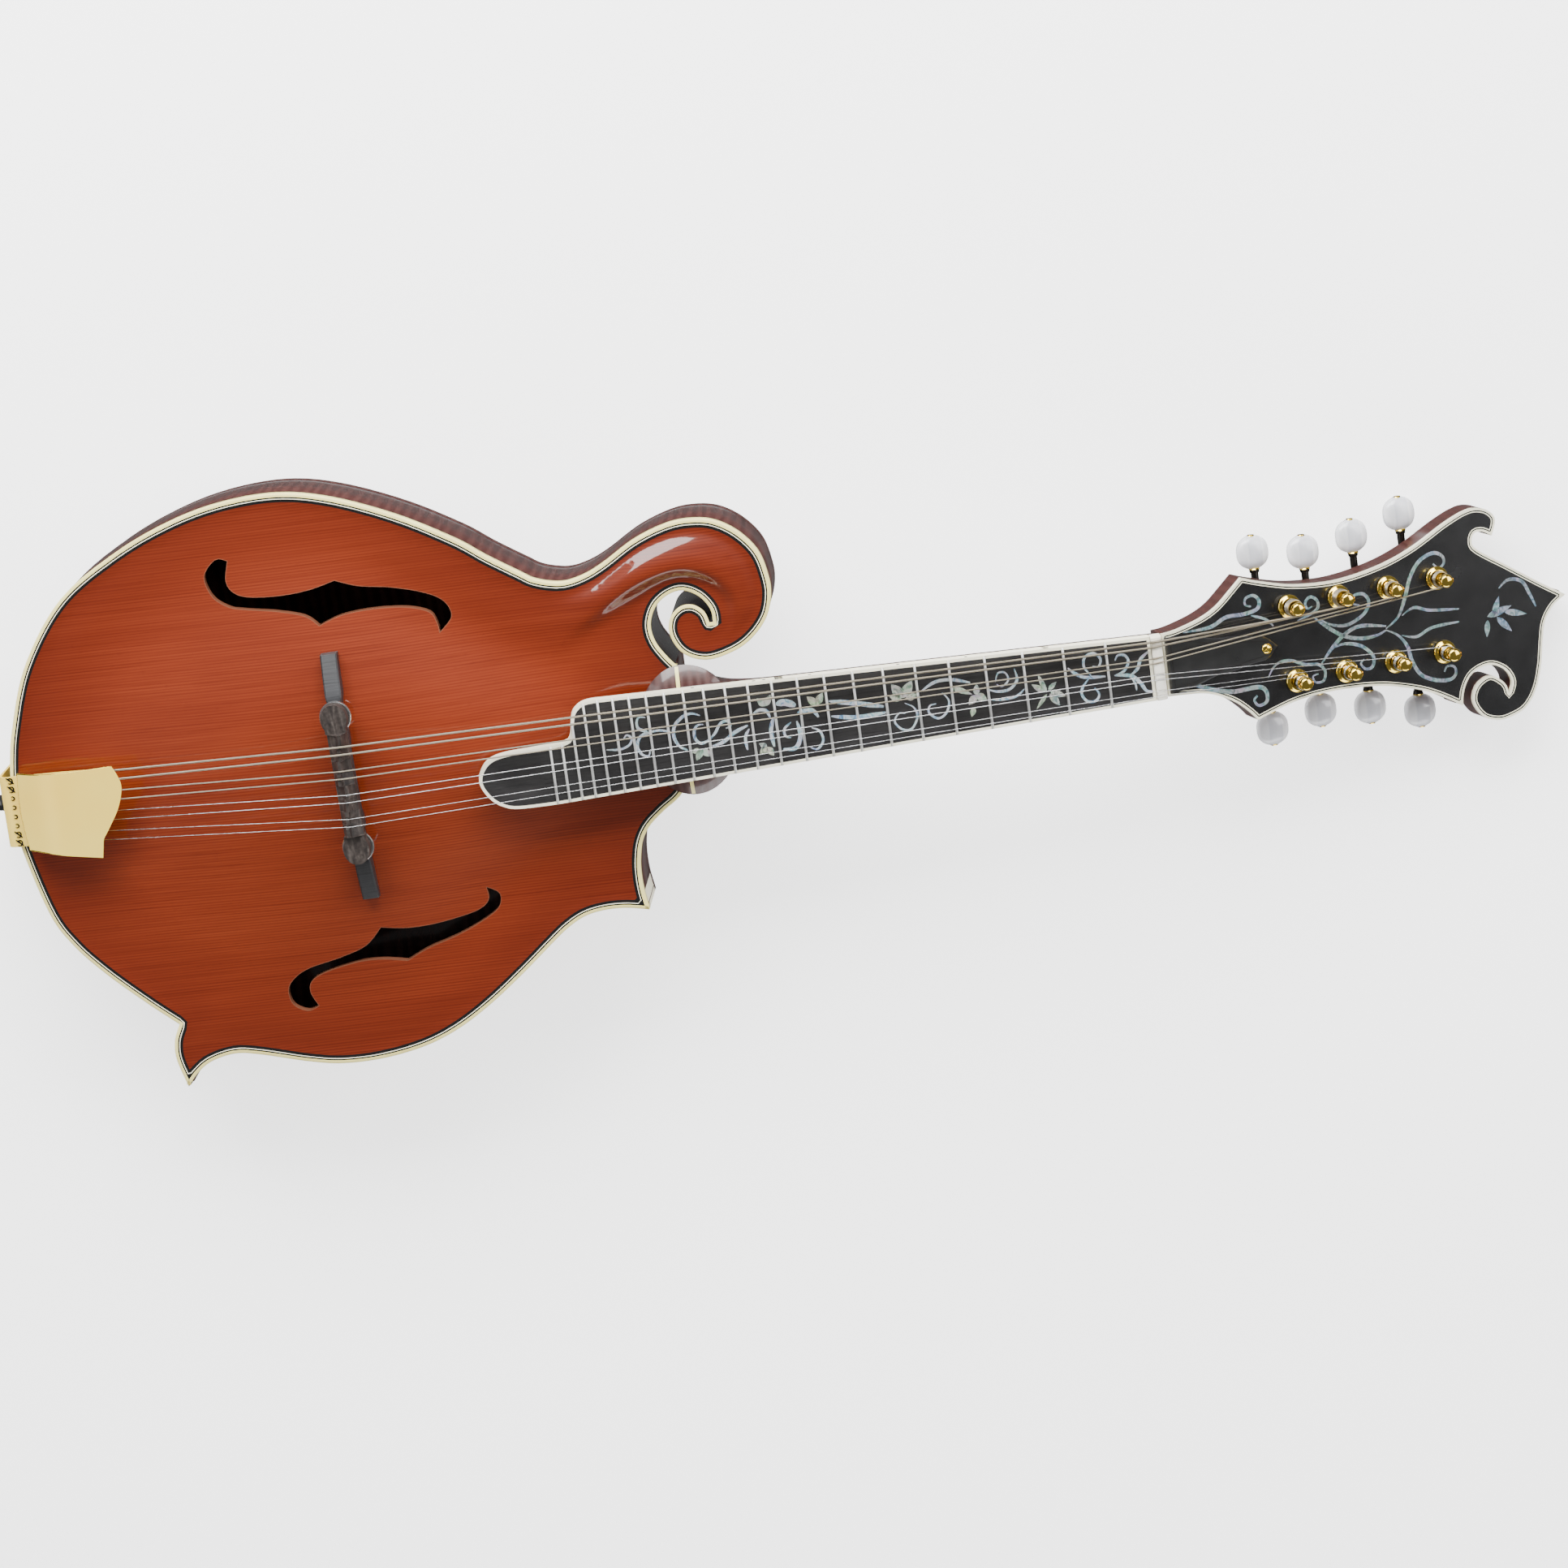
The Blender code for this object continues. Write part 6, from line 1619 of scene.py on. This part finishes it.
def make_tailpiece():
    profile = [(-3.55, -34.0), (-3.55, -2.0), (-3.3, 0.2), (-2.4, 1.6), (-1.0, 2.6), (1.0, 3.3), (6.0, 3.5),
               (14.0, 4.2), (26.0, 5.8), (39.9, 8.75)]
    inner = [(-2.45, -34.0), (-2.45, -2.0), (-2.2, -0.4), (-1.6, 0.8), (-0.4, 1.7), (1.0, 2.2), (6.0, 2.35),
             (14.0, 3.05), (26.0, 4.65), (39.9, 7.6)]
    rings = []
    for (ox, oz), (ix, iz) in zip(profile, inner):
        half = 15.75
        rings.append([(ix, -half, iz), (ix, half, iz), (ox, half, oz), (ox, -half, oz)])
    parts = [(loft_mesh("strap", rings), Matrix.Identity(4))]
    for k in range(8):
        y = (3.5 - k) * TAIL_PITCH
        hook = [(TAIL_HOOK_X - 4.7, y, 3.2), (TAIL_HOOK_X - 4.7, y, 6.6), (TAIL_HOOK_X - 5.0, y, 7.6),
                (TAIL_HOOK_X - 5.8, y, 8.3)]
        parts.append((tube_mesh("hook", hook, 0.65, 8), Matrix.Identity(4)))
    add_piece("tail_strap", joined("tail_strap", parts), "satin", LYING,
              replaces=["tailpiece_base"], smooth=40.0)

    strokes = []
    for k, y in enumerate((14.0, 10.2, 6.2, 2.1, -2.1, -6.2, -10.2, -14.0)):
        size = 1.25 if abs(y) > 9.0 else 0.85
        curl = [(1.9 + size * math.cos(a), y + size * math.sin(a)) for a in (-2.4, -1.5, -0.6, 0.4, 1.3, 2.2)]
        strokes.append((curl, 0.55))
        if abs(y) > 9.0:
            strokes.append(([(0.3, y + 1.6), (1.9, y + 0.2), (3.6, y - 1.4)], 0.6))
    marks = ribbon_mesh("tail_engraving", strokes, [], 3.25, 3.66)
    add_piece("tail_engraving", marks, "dark_metal", LYING, smooth=30.0)
    screws = []
    for y in (-10.5, 10.5):
        head = turned_mesh("head", [(0.0, 0.0), (2.1, 0.0), (2.0, 0.5), (1.2, 1.05), (0.0, 1.2)], 20)
        screws.append((head, moved(-3.4, y, -14.0) @ Matrix.Rotation(-math.pi / 2, 4, "Y")))
    add_piece("tail_screws", joined("tail_screws", screws), "gold", LYING, smooth=40.0)

    line = outline(TAIL_COVER_RUNS, 1.5)
    field = plate_field(line, 3.0)
    cover = plate_mesh("slide_cover", line, [], [], field, lambda x, y: tail_cover_z(x) + 1.0,
                       lambda x, y: tail_cover_z(x) + 0.05, line)
    add_piece("slide_cover", cover, "satin", LYING, "cover", ["tailpiece_cover"], 40.0)
    edge_line = [(x, y, tail_cover_z(x) + 0.62) for x, y in inset(line, 0.22)]
    rim = tube_mesh("cover_rim", edge_line + edge_line[:2], 0.38, 8)
    add_piece("cover_rim", rim, "gold", LYING, "cover", smooth=60.0)

    profile = [(0.0, 12.5), (2.4, 12.45), (4.2, 12.0), (5.5, 11.2), (5.95, 10.2), (5.6, 9.3), (4.6, 8.6), (3.7, 7.4),
               (3.4, 6.0), (3.6, 4.2), (4.4, 3.1), (6.1, 2.3), (6.25, 1.4), (6.1, 0.5), (4.0, 0.05), (3.6, -6.0),
               (0.0, -6.0)]
    pin = turned_mesh("strap_pin", profile[::-1], 40)
    place = LYING @ moved(-3.95, 0.0, PIN_Z) @ Matrix.Rotation(-math.pi / 2, 4, "Y")
    add_piece("strap_pin", pin, "black", place, replaces=["strap_button"], smooth=50.0)


# ---------------------------------------------------------------- strings

def string_places():
    """For each string: y at the tailpiece, y at the bridge, y at the nut, and its post."""
    posts = post_places()
    order = [posts[0], posts[1], posts[2], posts[3], posts[7], posts[6], posts[5], posts[4]]
    places = []
    for k in range(8):
        pair = 1.5 - k // 2
        half = 0.5 if k % 2 == 0 else -0.5
        places.append(((3.5 - k) * TAIL_PITCH, pair * PAIR_PITCH_BRIDGE + half * PAIR_GAP_BRIDGE,
                       pair * PAIR_PITCH_NUT + half * PAIR_GAP_NUT, order[k]))
    return places


def make_strings():
    head = NECK_IN_BODY @ HEAD_IN_NECK
    for k, (tail_y, bridge_y, nut_y, post) in enumerate(string_places()):
        radius = STRING_RADIUS[k]
        bridge_x = BRIDGE_X - bridge_y * math.tan(BRIDGE_TURN)
        along = -(JOINT_X - bridge_x) / math.cos(NECK_ANGLE)
        bridge_z = (NECK_IN_BODY @ Vector((along * MM, 0.0, ACTION_BRIDGE * MM))).z / MM + radius
        nut = NECK_IN_BODY @ Vector(((NUT_U + 1.0) * MM, nut_y * MM, (ACTION_NUT + radius) * MM)) / MM
        side = 1.0 if post[1] > 0.0 else -1.0
        reach = POST_RADIUS + radius + 0.02
        end = head @ Vector((post[0] * MM, (post[1] - side * reach) * MM, WRAP_W[post[0]] * MM)) / MM
        hook = (TAIL_HOOK_X - 4.7, tail_y)
        points = [(hook[0] + 0.9 * math.cos(a), hook[1] + 0.9 * math.sin(a), 5.4)
                  for a in (math.pi * 0.75, math.pi, math.pi * 1.25)]
        points += [(TAIL_HOOK_X, tail_y, 7.5), (bridge_x, bridge_y, bridge_z), tuple(nut), tuple(end)]
        name = "string_line_" + STRING_NAMES[k]
        line = tube_mesh(name, points, radius, 12)
        add_piece(name, line, "wound" if k < 4 else "plain", LYING,
                  replaces=["string_" + STRING_NAMES[k]], smooth=60.0)


# ---------------------------------------------------------------- surroundings

def area_light(name, place, target, size, power, colour=(1.0, 1.0, 1.0)):
    light = bpy.data.lights.new(name, "AREA")
    light.shape = "RECTANGLE"
    light.size, light.size_y = size
    light.energy = power
    light.color = colour
    lamp = bpy.data.objects.new(name, light)
    bpy.context.scene.collection.objects.link(lamp)
    lamp.location = place
    lamp.rotation_euler = (Vector(target) - Vector(place)).to_track_quat("-Z", "Y").to_euler()
    return lamp


def make_surroundings():
    shape = bmesh.new()
    bmesh.ops.create_grid(shape, x_segments=2, y_segments=2, size=6.0)
    floor_mesh = mesh_from_bmesh("floor", shape)
    floor_mesh.materials.append(LOOK["floor"])
    floor = bpy.data.objects.new("floor", floor_mesh)
    bpy.context.scene.collection.objects.link(floor)
    floor.location = (0.0, 0.0, -0.0004)
    floor.visible_glossy = False

    area_light("key_light", (-0.15, 1.15, 0.80), (-0.1, 0.0, 0.0), (1.7, 0.75), 66.0)
    area_light("fill_light", (0.45, -1.55, 0.62), (0.0, 0.0, 0.0), (2.0, 0.7), 20.0)
    area_light("head_light", (1.75, 0.50, 1.20), (0.1, 0.0, 0.0), (1.5, 0.9), 26.0)
    area_light("tail_light", (-1.60, 0.20, 1.00), (-0.2, 0.0, 0.0), (1.5, 0.8), 12.0)
    world = bpy.data.worlds.new("studio")
    world.use_nodes = True
    back = world.node_tree.nodes["Background"]
    back.inputs["Color"].default_value = (1.0, 1.0, 1.0, 1.0)
    back.inputs["Strength"].default_value = 0.16
    bpy.context.scene.world = world


def make_camera():
    """The view from above the body's bass side, given in the instrument's frame."""
    eye = Vector((506.55, 461.99, 2293.99)) * MM
    look = Vector((-0.07133, -0.20883, -0.97535)).normalized()
    up = Vector((0.11852, 0.96913, -0.21617))
    right = look.cross(up).normalized()
    up = right.cross(look)
    turn = Matrix((right, up, -look)).transposed().to_4x4()
    data = bpy.data.cameras.new("camera")
    data.sensor_width = 36.0
    data.lens = 123.8
    camera = bpy.data.objects.new("camera", data)
    bpy.context.scene.collection.objects.link(camera)
    camera.matrix_world = LYING @ Matrix.Translation(eye) @ turn
    bpy.context.scene.camera = camera


make_body()
make_neck()
make_fingerboard()
make_headstock()
make_tuners()
make_bridge()
make_tailpiece()
make_strings()
make_surroundings()
make_camera()
